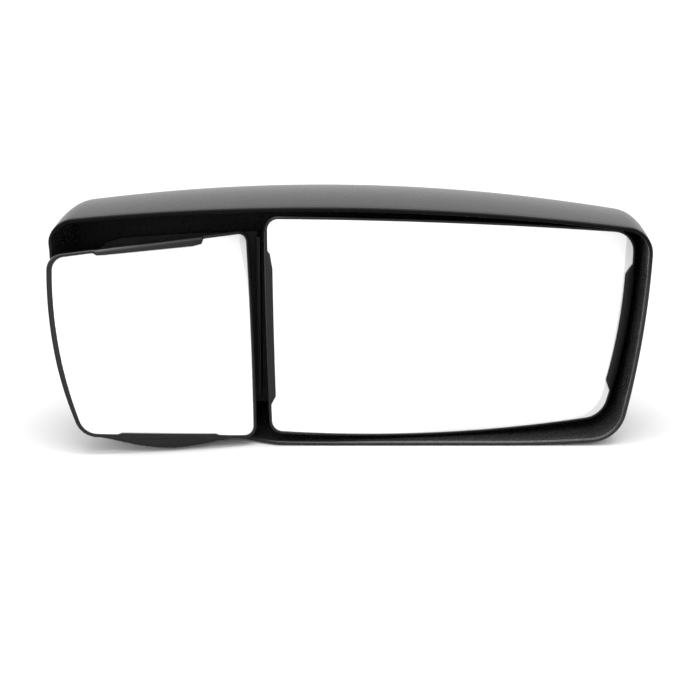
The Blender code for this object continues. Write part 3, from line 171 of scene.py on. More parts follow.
# sockets behind the carriers, about their pivots
LEVER = 0.036
MAIN_EAR = {"near": 0.0185, "far": 0.0240, "radius": 0.0029}
MAIN_EAR_ROOT = 0.001
MAIN_PIN = {"radius": 0.00175, "starts": (-0.0250, 0.0175), "length": 0.0075}
SPOT_EAR = {"near": 0.0085, "far": 0.0135, "radius": 0.0042}
SPOT_EAR_ROOT = 0.0005
SPOT_PIN = {"radius": 0.00235, "starts": (-0.0145, 0.0075), "length": 0.0070}
CUP_FOOT = 0.0066
CUP_FOOT_HEIGHT = 0.0014
CUP_RADIUS = 0.0060
CUP_MOUTH = 0.0055
CUP_EDGE = 0.0015
CUP_TOP = 0.0020
CUP_BORE = {"radius": 0.0042, "start": -0.0042, "end": 0.0030}

SMOOTH_ANGLE = 32.0
ROD_SEGMENTS = 48


# ---------------------------------------------------------------- outlines made of arcs
def even(count):
    """Fractions that split an arc evenly, without its two ends."""
    return [step / count for step in range(1, count)]


def refine(fractions, pieces):
    """The same fractions with evenly spaced ones added between them."""
    marks = [0.0] + list(fractions) + [1.0]
    result = []
    for low, high in zip(marks, marks[1:]):
        result += [low + (high - low) * step / pieces for step in range(pieces)]
    return result[1:]


def quarter(steps):
    """Angles of a quarter turn, with both ends."""
    return [pi / 2 * step / steps for step in range(steps + 1)]


def straight_side(x, z, outward):
    """A side through (x, z) that faces the angle outward, as a circle too large to bend."""
    return (x - STRAIGHT * cos(outward), z - STRAIGHT * sin(outward), STRAIGHT)


def bowed_side(facing, edge, place_along, radius):
    """A side that bows outwards, as a circle; it reaches edge at the place along it."""
    if facing == "up":
        return (place_along, edge - radius, radius)
    if facing == "down":
        return (place_along, edge + radius, radius)
    if facing == "left":
        return (edge + radius, place_along, radius)
    return (edge - radius, place_along, radius)


def corner_centre(side_a, side_b, radius, near):
    """Centre of the corner arc that touches two side circles from inside."""
    reach_a = side_a[2] - radius
    reach_b = side_b[2] - radius
    dx = side_b[0] - side_a[0]
    dz = side_b[1] - side_a[1]
    apart = hypot(dx, dz)
    along = (reach_a**2 - reach_b**2 + apart**2) / (2 * apart)
    across = sqrt(reach_a**2 - along**2)
    foot_x = side_a[0] + dx * along / apart
    foot_z = side_a[1] + dz * along / apart
    options = [(foot_x + s * across * dz / apart, foot_z - s * across * dx / apart) for s in (1, -1)]
    return min(options, key=lambda spot: hypot(spot[0] - near[0], spot[1] - near[1]))


def arc_points(x, z, radius, start, end, fractions):
    if end < start:
        end += 2 * pi
    angles = [start + (end - start) * part for part in fractions]
    return [(x + radius * cos(angle), z + radius * sin(angle)) for angle in angles]


def outline(sides, corners, inset=0.0, growth=0.0, corner_steps=10):
    """Closed outline, counter-clockwise from the front, as (x, z) points."""
    circles = [(side[0][0], side[0][1], side[0][2] - inset) for side in sides]
    bends = []
    for index, corner in enumerate(corners):
        if corner is None:
            bends.append(None)
            continue
        radius = max(corner[0] - inset + growth, 0.001)
        after = circles[(index + 1) % len(circles)]
        x, z = corner_centre(circles[index], after, radius, corner[1])
        start = atan2(z - circles[index][1], x - circles[index][0])
        end = atan2(z - after[1], x - after[0])
        bends.append((x, z, radius, start, end))
    lowest = -pi / 2
    points = []
    ends = [step / corner_steps for step in range(corner_steps + 1)]
    for index, (circle, side) in enumerate(zip(circles, sides)):
        before = bends[index - 1]
        after = bends[index]
        start = lowest if before is None else before[4]
        end = lowest if after is None else after[3]
        fractions = list(side[1])
        if before is None:
            fractions = [0.0] + fractions
        if after is None:
            fractions = fractions + [1.0]
        points += arc_points(*circle, start, end, fractions)
        if after is not None:
            points += arc_points(*after, ends)
    return points


def smooth_step(value, start, end):
    part = min(max((value - start) / (end - start), 0.0), 1.0)
    return part * part * (3 - 2 * part)


# ---------------------------------------------------------------- solids
TURNS = {"Y": Matrix.Identity(4), "X": Matrix.Rotation(-pi / 2, 4, "Z"), "Z": Matrix.Rotation(pi / 2, 4, "X")}


def skin(rings, start_fan=None, end_fan=None):
    """Closed skin through rings of equal length; each end is one flat face or a fan to a middle point."""
    bm = bmesh.new()
    rows = [[bm.verts.new(point) for point in ring] for ring in rings]
    for near, far in zip(rows, rows[1:]):
        for index in range(len(near)):
            follow = (index + 1) % len(near)
            bm.faces.new((near[index], near[follow], far[follow], far[index]))
    for row, fan in ((rows[0], start_fan), (rows[-1], end_fan)):
        if fan is None:
            bm.faces.new(row)
            continue
        middle = bm.verts.new(fan)
        for index in range(len(row)):
            bm.faces.new((row[index], row[(index + 1) % len(row)], middle))
    return bm


def round_ring(radius, along, segments):
    """Ring of points about Y."""
    angles = [2 * pi * step / segments for step in range(segments)]
    return [Vector((radius * cos(angle), along, radius * sin(angle))) for angle in angles]


def turned(profile, segments=ROD_SEGMENTS):
    """Solid of revolution about Y from (radius, along) pairs; a radius of 0 ends it in a point."""
    rings = [round_ring(radius, along, segments) for radius, along in profile if radius > 0.0]
    outer = (profile[0], profile[-1])
    ends = [None if radius > 0.0 else Vector((0.0, along, 0.0)) for radius, along in outer]
    return skin(rings, *ends)


def turned_ring(profile, segments):
    """Hollow solid of revolution about Y; the profile's last pair joins its first."""
    bm = bmesh.new()
    rings = [round_ring(radius, along, segments) for radius, along in profile]
    rows = [[bm.verts.new(ring[step]) for ring in rings] for step in range(segments)]
    for index, row in enumerate(rows):
        after = rows[(index + 1) % segments]
        for k in range(len(row)):
            follow = (k + 1) % len(row)
            bm.faces.new((row[k], row[follow], after[follow], after[k]))
    return bm


def moved(bm, x, z):
    bmesh.ops.translate(bm, vec=(x, 0.0, z), verts=bm.verts)
    return bm


def rod(radius, start, end, x=0.0, z=0.0, axis="Y"):
    bm = turned([(0.0, start), (radius, start), (radius, end), (0.0, end)])
    bm.transform(TURNS[axis])
    return moved(bm, x, z)


def slab_between(low, high):
    """Rectangular block between two corners."""
    corners = ((low[0], low[2]), (high[0], low[2]), (high[0], high[2]), (low[0], high[2]))
    return skin([[Vector((x, y, z)) for x, z in corners] for y in (low[1], high[1])])


def smooth_by_angle(mesh, angle=SMOOTH_ANGLE):
    mesh.shade_smooth()
    mesh.set_sharp_from_angle(angle=radians(angle))


def mesh_from(bm, name):
    bmesh.ops.recalc_face_normals(bm, faces=bm.faces)
    mesh = bpy.data.meshes.new(name)
    bm.to_mesh(mesh)
    bm.free()
    smooth_by_angle(mesh)
    return mesh


def body_nodes(prefix):
    return sorted(node for node in frame["nodes"] if node.startswith(prefix))


def middle_of(node):
    """Middle of a node across its own Y axis, as x and z."""
    low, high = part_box(node)
    return (low.x + high.x) / 2, (low.z + high.z) / 2


placed = set()


def place(name, mesh, node):
    """Link a mesh as the piece that stands for a CAD node, in that node's finish."""
    made = bpy.data.objects.new(name, mesh)
    bpy.context.scene.collection.objects.link(made)
    made.data.materials.append(finishes[slot_of[node]])
    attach(made, body_of[node])
    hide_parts(node)
    placed.add(node)
    return made


def combine(made, shapes, operation="DIFFERENCE"):
    """Cut each shape out of the piece, or join it on."""
    for shape in shapes:
        tool = bpy.data.objects.new("tool", mesh_from(shape, "tool"))
        bpy.context.scene.collection.objects.link(tool)
        step = made.modifiers.new("combine", "BOOLEAN")
        step.operation = operation
        step.solver = "EXACT"
        step.object = tool
        bpy.context.view_layer.update()
        result = bpy.data.meshes.new_from_object(made.evaluated_get(bpy.context.evaluated_depsgraph_get()))
        made.modifiers.clear()
        made.data = result
        bpy.data.objects.remove(tool, do_unlink=True)
    smooth_by_angle(made.data)


def soften(made, width):
    """Round every edge that turns by more than a bend of the surface would."""
    edge = made.modifiers.new("soften", "BEVEL")
    edge.width = width
    edge.segments = 3
    edge.limit_method = "ANGLE"
    edge.angle_limit = radians(34.0)
    edge.use_clamp_overlap = True


# ---------------------------------------------------------------- shader nodes
NOISE_SPAN = (0.3, 0.7)    # the part of a noise field that is spread over a whole range
WHOLE_SPAN = (0.0, 1.0)


def new_finish(name, roughness, metallic=0.0, specular=0.5):
    made = bpy.data.materials.new(name)
    made.use_nodes = True
    shader = made.node_tree.nodes["Principled BSDF"]
    shader.inputs["Roughness"].default_value = roughness
    shader.inputs["Metallic"].default_value = metallic
    shader.inputs["Specular IOR Level"].default_value = specular
    return made, made.node_tree, shader


def noise(tree, scale, detail=3.0, stretch=(1.0, 1.0, 1.0)):
    """Noise in the object's own metres; scale counts features in a metre."""
    where = tree.nodes.new("ShaderNodeTexCoord")
    spread = tree.nodes.new("ShaderNodeMapping")
    spread.inputs["Scale"].default_value = stretch
    tree.links.new(where.outputs["Object"], spread.inputs["Vector"])
    made = tree.nodes.new("ShaderNodeTexNoise")
    made.inputs["Scale"].default_value = scale
    made.inputs["Detail"].default_value = detail
    tree.links.new(spread.outputs["Vector"], made.inputs["Vector"])
    return made.outputs["Fac"]


def spread_values(tree, source, low, high, span=NOISE_SPAN):
    """Map the span of a field onto the range low to high."""
    made = tree.nodes.new("ShaderNodeMapRange")
    made.inputs["From Min"].default_value = span[0]
    made.inputs["From Max"].default_value = span[1]
    made.inputs["To Min"].default_value = low
    made.inputs["To Max"].default_value = high
    tree.links.new(source, made.inputs["Value"])
    return made.outputs["Result"]


def rising(tree, source, span):
    """0 before the span, 1 after it."""
    return spread_values(tree, source, 0.0, 1.0, span)


def falling(tree, source, span):
    """1 before the span, 0 after it."""
    return spread_values(tree, source, 1.0, 0.0, span)


def two_tone(tree, source, dark, light):
    """Colour that drifts between two tones."""
    made = tree.nodes.new("ShaderNodeValToRGB")
    made.color_ramp.elements[0].position = NOISE_SPAN[0]
    made.color_ramp.elements[1].position = NOISE_SPAN[1]
    made.color_ramp.elements[0].color = (*dark, 1.0)
    made.color_ramp.elements[1].color = (*light, 1.0)
    tree.links.new(source, made.inputs["Fac"])
    return made.outputs["Color"]


def bump(tree, shader, layers):
    """Stack bump layers: (height field, depth in metres, strength)."""
    before = None
    for height, depth, strength in layers:
        made = tree.nodes.new("ShaderNodeBump")
        made.inputs["Distance"].default_value = depth
        made.inputs["Strength"].default_value = strength
        tree.links.new(height, made.inputs["Height"])
        if before is not None:
            tree.links.new(before, made.inputs["Normal"])
        before = made.outputs["Normal"]
    tree.links.new(before, shader.inputs["Normal"])


def combined(tree, operation, *fields):
    """Chain two or more fields through one kind of sum."""
    result = fields[0]
    for field in fields[1:]:
        made = tree.nodes.new("ShaderNodeMath")
        made.operation = operation
        tree.links.new(result, made.inputs[0])
        tree.links.new(field, made.inputs[1])
        result = made.outputs["Value"]
    return result


def blend_colour(tree, shader, share, colour):
    """Mix one more colour over the base colour where share is 1."""
    before = shader.inputs["Base Color"].links[0].from_socket
    blend = tree.nodes.new("ShaderNodeMix")
    blend.data_type = "RGBA"
    blend.inputs["B"].default_value = (*colour, 1.0)
    tree.links.new(share, blend.inputs["Factor"])
    tree.links.new(before, blend.inputs["A"])
    tree.links.new(blend.outputs["Result"], shader.inputs["Base Color"])


def parts_of(tree, which):
    """X, Y and Z of a surface point (Object) or of the way that the surface faces (Normal)."""
    where = tree.nodes.new("ShaderNodeTexCoord")
    parts = tree.nodes.new("ShaderNodeSeparateXYZ")
    tree.links.new(where.outputs[which], parts.inputs["Vector"])
    return parts.outputs


# ---------------------------------------------------------------- painted light, shade and highlights on the housing and carriers
HEAD_MIDDLE = (0.0, RIM_Y + 0.045, HEAD_TOP / 2)
INWARD_SPAN = (-0.030, -0.005)
# painted light: paler greys laid over the inside of the head, paler still deep inside, standing in for light that
# reaches the recess
INSIDE_PAINTED_LIGHT = (0.024, 0.024, 0.025)
DEEP_PAINTED_LIGHT = (0.030, 0.030, 0.031)
DEEP_SPAN = (RIM_Y + 0.025, RIM_Y + 0.060)
# painted shade on the upper rim: a near-black colour with a low specular level
RIM_PAINTED_SHADE = (0.004, 0.004, 0.0043)
RIM_SPECULAR = 0.02
FORWARD_SPAN = (-0.95, -0.45)
DOWNWARD_SPAN = (-0.60, -0.20)
UPPER_RIM_SPAN = (0.125, 0.165)
NEAR_RIM_SPAN = (RIM_Y + 0.020, RIM_Y + 0.026)
UPWARD_SPAN = (0.15, 0.45)
LOWER_RIM_SPAN = (0.010, 0.016)
RIM_EDGE_SPAN = (RIM_Y + 0.003, RIM_Y + 0.005)
RIM_HIGHLIGHT_GLOSS = 0.45          # what the painted highlight adds to the specular level
# how far upwards an edge must look for the painted highlight on the carriers to come in
HIGHLIGHT_FACING_SPAN = (0.30, 0.60)


def painted_light_inside(tree, shader):
    """Painted light inside the head: faces that look towards its middle get a paler grey, and a paler one again
    deep inside, in place of the light that reaches the recess.
    """
    where = tree.nodes.new("ShaderNodeTexCoord")
    offset = tree.nodes.new("ShaderNodeVectorMath")
    offset.operation = "SUBTRACT"
    offset.inputs[1].default_value = HEAD_MIDDLE
    facing = tree.nodes.new("ShaderNodeVectorMath")
    facing.operation = "DOT_PRODUCT"
    tree.links.new(where.outputs["Object"], offset.inputs[0])
    tree.links.new(offset.outputs["Vector"], facing.inputs[0])
    tree.links.new(where.outputs["Normal"], facing.inputs[1])
    inward = falling(tree, facing.outputs["Value"], INWARD_SPAN)
    deep = rising(tree, parts_of(tree, "Object")["Y"], DEEP_SPAN)
    blend_colour(tree, shader, inward, INSIDE_PAINTED_LIGHT)
    blend_colour(tree, shader, combined(tree, "MULTIPLY", inward, deep), DEEP_PAINTED_LIGHT)


def rim_painted_shade_and_highlight(tree, shader, specular):
    """Painted shade on the upper part of the rim, where its faces look forwards or downwards: near black and
    barely reflective. A painted highlight on the lower part's inner edge: its specular level is raised where it
    looks upwards.
    """
    point = parts_of(tree, "Object")
    facing = parts_of(tree, "Normal")
    forward = falling(tree, facing["Y"], FORWARD_SPAN)
    downward = falling(tree, facing["Z"], DOWNWARD_SPAN)
    upper = rising(tree, point["Z"], UPPER_RIM_SPAN)
    near = falling(tree, point["Y"], NEAR_RIM_SPAN)
    # painted shade mask: upper rim faces near the front that look forwards or downwards
    painted_shade = combined(tree, "MULTIPLY", combined(tree, "MAXIMUM", forward, downward), upper, near)
    upward = rising(tree, facing["Z"], UPWARD_SPAN)
    lower = falling(tree, point["Z"], LOWER_RIM_SPAN)
    edge = falling(tree, point["Y"], RIM_EDGE_SPAN)
    painted_highlight = combined(tree, "MULTIPLY", upward, lower, edge)
    base_gloss = spread_values(tree, painted_shade, specular, RIM_SPECULAR, WHOLE_SPAN)
    painted_highlight_gloss = spread_values(tree, painted_highlight, 0.0, RIM_HIGHLIGHT_GLOSS, WHOLE_SPAN)
    tree.links.new(combined(tree, "ADD", base_gloss, painted_highlight_gloss), shader.inputs["Specular IOR Level"])
    blend_colour(tree, shader, painted_shade, RIM_PAINTED_SHADE)


def painted_highlight_edges(tree, shader, specular, edge_highlight_specular):
    """Painted highlight: edges that look upwards get a higher specular level, so that they catch the overhead
    light.
    """
    share = rising(tree, parts_of(tree, "Normal")["Z"], HIGHLIGHT_FACING_SPAN)
    gloss = spread_values(tree, share, specular, edge_highlight_specular, WHOLE_SPAN)
    tree.links.new(gloss, shader.inputs["Specular IOR Level"])


# ---------------------------------------------------------------- finishes
# noise fields: features in a metre, levels of detail, and how a field is stretched
TONE_DRIFT = (14.0, 4.0)
HANDLING_MARKS = (420.0, 4.0, (1.0, 1.0, 2.0))
GLASS_HAZE = (25.0, 3.0)
PLATING_PATCHES = (220.0, 4.0)
BRUSHED_STREAKS = (900.0, 2.0, (1.0, 0.12, 1.0))
ORANGE_PEEL = (620.0, 2.0)
COAT_TOOTH = (2600.0, 2.0)
COAT_DRIFT = (30.0, 3.0)
RUBBER_DRIFT = (60.0, 4.0)
RUBBER_TOOTH = (1800.0, 2.0)
MARK_CHANGE = 0.02         # what handling marks add to or take from the roughness
FINE_GRAIN = 2.2           # a second grain inside the first: this much finer ...
FINE_GRAIN_DEPTH = 0.5     # ... and this much shallower
GRAIN_STRENGTH = 0.55
FINE_GRAIN_STRENGTH = 0.5


def moulded_plastic(name, dark, light, roughness, grain, grain_depth, specular=0.25,
                    rim=False, edge_highlight_specular=None):
    """Moulded plastic: leathery grain, a slow drift in tone, and faint handling marks in the gloss."""
    made, tree, shader = new_finish(name, roughness, 0.0, specular)
    drift = noise(tree, *TONE_DRIFT)
    marks = noise(tree, *HANDLING_MARKS)
    tree.links.new(two_tone(tree, drift, dark, light), shader.inputs["Base Color"])
    gloss = spread_values(tree, marks, roughness - MARK_CHANGE, roughness + MARK_CHANGE)
    tree.links.new(gloss, shader.inputs["Roughness"])
    # housing: painted light inside, painted shade on the upper rim, and a painted highlight on the lower rim's
    # inner edge
    if rim:
        painted_light_inside(tree, shader)
        rim_painted_shade_and_highlight(tree, shader, specular)
    # painted highlight on edges that look upwards
    if edge_highlight_specular is not None:
        painted_highlight_edges(tree, shader, specular, edge_highlight_specular)
    cells = tree.nodes.new("ShaderNodeTexVoronoi")
    where = tree.nodes.new("ShaderNodeTexCoord")
    cells.inputs["Scale"].default_value = grain
    tree.links.new(where.outputs["Object"], cells.inputs["Vector"])
    fine = noise(tree, grain * FINE_GRAIN, 2.0)
    bump(tree, shader, [(cells.outputs["Distance"], grain_depth, GRAIN_STRENGTH),
                        (fine, grain_depth * FINE_GRAIN_DEPTH, FINE_GRAIN_STRENGTH)])
    return made


def mirror_glass_painted_white(name, dark, light):
    """Silvered glass drawn mostly as near-white diffuse colour, a painted reflection of the bright studio, with a
    little true mirror shine and the faintest haze.
    """
    made, tree, shader = new_finish(name, 0.015, 0.15)
    haze = noise(tree, *GLASS_HAZE)
    tree.links.new(two_tone(tree, haze, dark, light), shader.inputs["Base Color"])
    tree.links.new(spread_values(tree, haze, 0.008, 0.022), shader.inputs["Roughness"])
    return made


def plated_steel(name, dark, light, roughness):
    """Plating: short brushed streaks and dull patches."""
    made, tree, shader = new_finish(name, roughness, 1.0)
    patches = noise(tree, *PLATING_PATCHES)
    streaks = noise(tree, *BRUSHED_STREAKS)
    tree.links.new(two_tone(tree, patches, dark, light), shader.inputs["Base Color"])
    gloss = spread_values(tree, patches, roughness - 0.08, roughness + 0.12)
    tree.links.new(gloss, shader.inputs["Roughness"])
    bump(tree, shader, [(streaks, 0.00004, 0.5)])
    return made


def powder_coat(name, dark, light, roughness):
    """Powder coat over a casting: orange peel with a little tooth."""
    made, tree, shader = new_finish(name, roughness)
    peel = noise(tree, *ORANGE_PEEL)
    tooth = noise(tree, *COAT_TOOTH)
    drift = noise(tree, *COAT_DRIFT)
    tree.links.new(two_tone(tree, drift, dark, light), shader.inputs["Base Color"])
    tree.links.new(spread_values(tree, peel, roughness - 0.06, roughness + 0.08), shader.inputs["Roughness"])
    bump(tree, shader, [(peel, 0.00025, 0.35), (tooth, 0.00006, 0.4)])
    return made


def soft_rubber(name, dark, light):
    """Moulded rubber or foam: chalky, with a fine tooth."""
    made, tree, shader = new_finish(name, 0.8, 0.0, 0.3)
    drift = noise(tree, *RUBBER_DRIFT)
    tooth = noise(tree, *RUBBER_TOOTH)
    tree.links.new(two_tone(tree, drift, dark, light), shader.inputs["Base Color"])
    tree.links.new(spread_values(tree, drift, 0.72, 0.88), shader.inputs["Roughness"])
    bump(tree, shader, [(tooth, 0.00008, 0.5)])
    return made


def grey(level, blue=None):
    """A grey, with its blue part a touch higher where blue is given."""
    return (level, level, level if blue is None else blue)


finishes = {
    "housing_plastic": moulded_plastic("housing_finish", grey(0.0085, 0.0090), grey(0.0105, 0.0112), 0.28,
                                       grain=1500.0, grain_depth=0.00002, rim=True),
    "frame_nylon": moulded_plastic("frame_finish", grey(0.022, 0.023), grey(0.028, 0.029), 0.55,
                                   grain=1100.0, grain_depth=0.00003),
    # carriers: a painted highlight on edges that look upwards, through a raised specular level
    "carrier_plastic": moulded_plastic("carrier_finish", grey(0.0060, 0.0065), grey(0.0078, 0.0084), 0.34,
                                       grain=1900.0, grain_depth=0.000015, specular=0.20, edge_highlight_specular=0.9),
    "actuator_case": moulded_plastic("case_finish", grey(0.030, 0.033), grey(0.042, 0.046), 0.48,
                                     grain=1300.0, grain_depth=0.00008),
    "natural_nylon": moulded_plastic("nylon_finish", (0.62, 0.59, 0.50), (0.74, 0.71, 0.62), 0.42,
                                     grain=1400.0, grain_depth=0.00004),
    # painted reflection: the glass is mostly diffuse near-white colour, standing in for the bright studio it
    # reflects
    "mirror": mirror_glass_painted_white("glass_painted_reflection", grey(0.985), grey(0.985 * 1.01)),
    "pad": soft_rubber("pad_finish", grey(0.06), grey(0.09)),
    "brass": plated_steel("brass_finish", (0.62, 0.44, 0.18), (0.76, 0.58, 0.27), 0.30),
    "zinc_steel": plated_steel("steel_finish", grey(0.52, 0.54), grey(0.68, 0.70), 0.32),
    "cast_bracket": powder_coat("bracket_finish", grey(0.020, 0.021), grey(0.028, 0.030), 0.46),
    "rubber": soft_rubber("rubber_finish", grey(0.012), grey(0.020)),
}


# ---------------------------------------------------------------- housing shell
def housing_sides(depth):
    """Side circles of the housing at one depth behind the rim, with the fractions that split each side."""
    lean = depth / SHELL_DEPTH
    arch = 1 / (1 / TOP_RADIUS + lean * (1 / BACK_TOP_RADIUS - 1 / TOP_RADIUS))
    crown = CROWN_X + lean * (BACK_CROWN_X - CROWN_X)
    along = min(depth / SHOULDER_START, 1.0)
    rise = along * (1 - BULGE_FALL * along - (1 - BULGE_FALL) * along**2)
    height = HEAD_TOP - BACK_TOP_DRAFT * lean + TOP_BULGE * rise
    return [
        (bowed_side("up", height, crown, arch), even(TOP_STEPS)),
        (bowed_side("left", HEAD_LEFT + LEFT_DRAFT * lean, LEFT_Z, LEFT_RADIUS), even(SIDE_STEPS)),
        (bowed_side("down", 0.0, FLAT_LEFT, BOTTOM_RADIUS), even(LOW_LEFT_STEPS)),
        (bowed_side("down", 0.0, FLAT_RIGHT, BOTTOM_RIGHT_RADIUS), even(LOW_RIGHT_STEPS)),
        (bowed_side("right", HEAD_RIGHT - RIGHT_DRAFT * lean, RIGHT_Z, RIGHT_RADIUS), even(SIDE_STEPS)),
    ]


HOUSING_CORNERS = [
    (CORNER_RADII["top_left"], (HEAD_LEFT, HEAD_TOP)),
    (CORNER_RADII["bottom_left"], (HEAD_LEFT, 0.0)),
    None,
    (CORNER_RADII["bottom_right"], (HEAD_RIGHT, 0.0)),
    (CORNER_RADII["top_right"], (HEAD_RIGHT, HEAD_TOP)),
]


def housing_ring(depth, inset, growth=0.0):
    """One ring of the shell; the upper left of the rim stands back, slimmer and flared."""
    sides = housing_sides(depth)
    plain = outline(sides, HOUSING_CORNERS, inset, growth)
    slim = plain
    if depth < SHOULDER_START / 2:
        slim = outline(sides, HOUSING_CORNERS, min(inset, LIP_SLIM), growth)
    ring = []
    for (x, z), (slim_x, slim_z) in zip(plain, slim):
        share = smooth_step(x, *RELIEF_X) * smooth_step(z, *RELIEF_Z)
        back = depth + RELIEF * share * max(0.0, 1.0 - depth / SHOULDER_START)
        out = FLARE * share * smooth_step(depth, SHOULDER_START / 2, 0.0)
        ring.append(Vector((x + (slim_x - x) * share - out, RIM_Y + back, z + (slim_z - z) * share)))
    return ring


def rim_rings():
    """The rim from its outer edge over the front and in to the wall's inner face."""
    lip = [(RIM_ROUND * (1 - sin(turn)), RIM_ROUND * (1 - cos(turn))) for turn in quarter(RIM_ROUND_STEPS)]
    lip += [(INNER_ROUND * (1 - cos(turn)), LIP_WIDTH - INNER_ROUND + INNER_ROUND * sin(turn))
            for turn in quarter(INNER_ROUND_STEPS)]
    return [housing_ring(depth, inset) for depth, inset in lip + INNER_LAND]


def housing_shell():
    outer = []
    inner = []
    for turn in quarter(SHOULDER_STEPS):
        inset = SHOULDER_INSET * (1 - cos(turn))
        depth = SHOULDER_START + (SHELL_DEPTH - SHOULDER_START) * sin(turn)
        outer.append(housing_ring(depth, inset, inset + CORNER_GROWTH * sin(turn)))
        inset = WALL + (SHOULDER_INSET - WALL) * (1 - cos(turn))
        depth = SHOULDER_START + (SHELL_DEPTH - WALL - SHOULDER_START) * sin(turn)
        inner.append(housing_ring(depth, inset, inset - WALL * cos(turn) + CORNER_GROWTH * sin(turn)))
    walls = even(WALL_STEPS)
    outer_wall = [housing_ring(SHOULDER_START * part, 0.0) for part in reversed(walls)]
    inner_wall = [housing_ring(SHOULDER_START * part, WALL) for part in walls]
    bm = skin(outer[::-1] + outer_wall + rim_rings() + inner_wall + inner)
    shell = place("housing_skin", mesh_from(bm, "housing_skin"), "housing_shell")
    start = shell_high.y - HOLE_REACH
    end = shell_high.y + HOLE_REACH
    holes = []
    for family, radius in HOUSING_HOLES.items():
        holes += [rod(radius, start, end, *middle_of(node)) for node in body_nodes(family)]
    combine(shell, holes)


# ---------------------------------------------------------------- glasses and their carriers
# Sides of each glass as seen inside its lip, in its own plane, and its corners as (radius, a place near it).
# A side's marks are the fractions of it where the chamfered ends of its tab begin and end, with some between.
MAIN_LEFT_MARKS = [0.097, 0.120, 0.36, 0.60, 0.845, 0.868]
MAIN_RIGHT_MARKS = [0.050, 0.080, 0.30, 0.50, 0.70, 0.907, 0.937]
SPOT_TOP_MARKS = [0.195, 0.218, 0.42, 0.62, 0.817, 0.840]
SPOT_LOW_MARKS = [0.133, 0.160, 0.29, 0.43, 0.57, 0.70, 0.800, 0.823]
MAIN_SIDES = [
    (bowed_side("up", edge=0.0874, place_along=-0.265, radius=4.300), even(24)),
    (bowed_side("left", edge=-0.1398, place_along=0.080, radius=5.000), refine(MAIN_LEFT_MARKS, 3)),
    (bowed_side("down", edge=-0.0867, place_along=-0.022, radius=1.100), even(28)),
    (bowed_side("right", edge=0.1426, place_along=0.055, radius=0.430), refine(MAIN_RIGHT_MARKS, 4)),
]
MAIN_CORNERS = [
    (0.008, (-0.14, 0.085)),
    (0.009, (-0.14, -0.085)),
    (0.019, (0.12, -0.080)),
    (0.016, (0.14, 0.070)),
]
SPOT_SIDES = [
    (straight_side(0.0085, 0.0745, outward=radians(90 + 5.1)), refine(SPOT_TOP_MARKS, 4)),
    (bowed_side("left", edge=-0.0724, place_along=0.042, radius=0.315), even(20)),
    (straight_side(0.0160, -0.0713, outward=radians(-90 - 4.0)), refine(SPOT_LOW_MARKS, 3)),
    (straight_side(0.0768, 0.0, outward=0.0), even(14)),
]
SPOT_CORNERS = [
    (0.010, (-0.072, 0.070)),
    (0.015, (-0.055, -0.067)),
    (0.007, (0.077, -0.076)),
    (0.0058, (0.077, 0.081)),
]


def tab_weight(value, ends, ramp):
    """1 along a grip tab, falling to 0 over its chamfered ends."""
    return min(max(min(value - ends[0], ends[1] - value) / ramp, 0.0), 1.0)


def main_tab(a, b):
    """How far the grip tab stands in over the main glass: it is deeper at the right."""
    if abs(a) < MAIN_TABS_BEYOND:
        return 0.0
    if a < 0:
        return MAIN_TAB * tab_weight(b, MAIN_LEFT_TAB_ENDS, MAIN_TAB)
    return RIGHT_TAB * tab_weight(b, MAIN_RIGHT_TAB_ENDS, RIGHT_TAB)


def spot_tab(a, b):
    """The same for the spotter: the upper tab grows deeper to the right, and the lower one is shallow."""
    if abs(b) < SPOT_TABS_BEYOND:
        return 0.0
    if b < 0:
        return LOW_TAB * tab_weight(a, SPOT_LOW_TAB_ENDS, SPOT_TAB)
    return (SPOT_TAB + TAB_GROWTH * (a - TAB_GROWTH_FROM)) * tab_weight(a, SPOT_TOP_TAB_ENDS, SPOT_TAB)


def ledge_bow(a, b):
    """How far the finger ledge stands out past the carrier's lower edge."""
    part = (a - LEDGE_SPAN[0]) / (LEDGE_SPAN[1] - LEDGE_SPAN[0])
    if b > -SPOT_TABS_BEYOND or not 0.0 < part < 1.0:
        return 0.0
    return LEDGE_BOW * sin(pi * part) ** LEDGE_POWER


def outer_end(a, b):
    """1 along the upper part of the spotter's outer end, less along its lower part, and 0 elsewhere."""
    height = smooth_step(b, *OUTER_END_Z)
    return smooth_step(a, *OUTER_END_X) * (OUTER_END_LEAST + (1 - OUTER_END_LEAST) * height)


MAIN_GLASS = {"sides": MAIN_SIDES, "corners": MAIN_CORNERS, "tab": main_tab,
              "rim": MAIN_RIM, "side_rim": 0.0, "reach": MAIN_REACH, "curve": None}
SPOT_GLASS = {"sides": SPOT_SIDES, "corners": SPOT_CORNERS, "tab": spot_tab,
              "rim": SPOT_RIM, "side_rim": SIDE_RIM, "reach": SPOT_REACH, "curve": SPOT_CURVE}
INNER_RINGS = even(12)


def face_point(glass, x, z, depth):
    y = depth - glass["reach"] - LIP_FRONT
    if glass["curve"]:
        y += (x * x + z * z) / (2 * glass["curve"]) - SPOT_SAG
    return Vector((x, y, z))


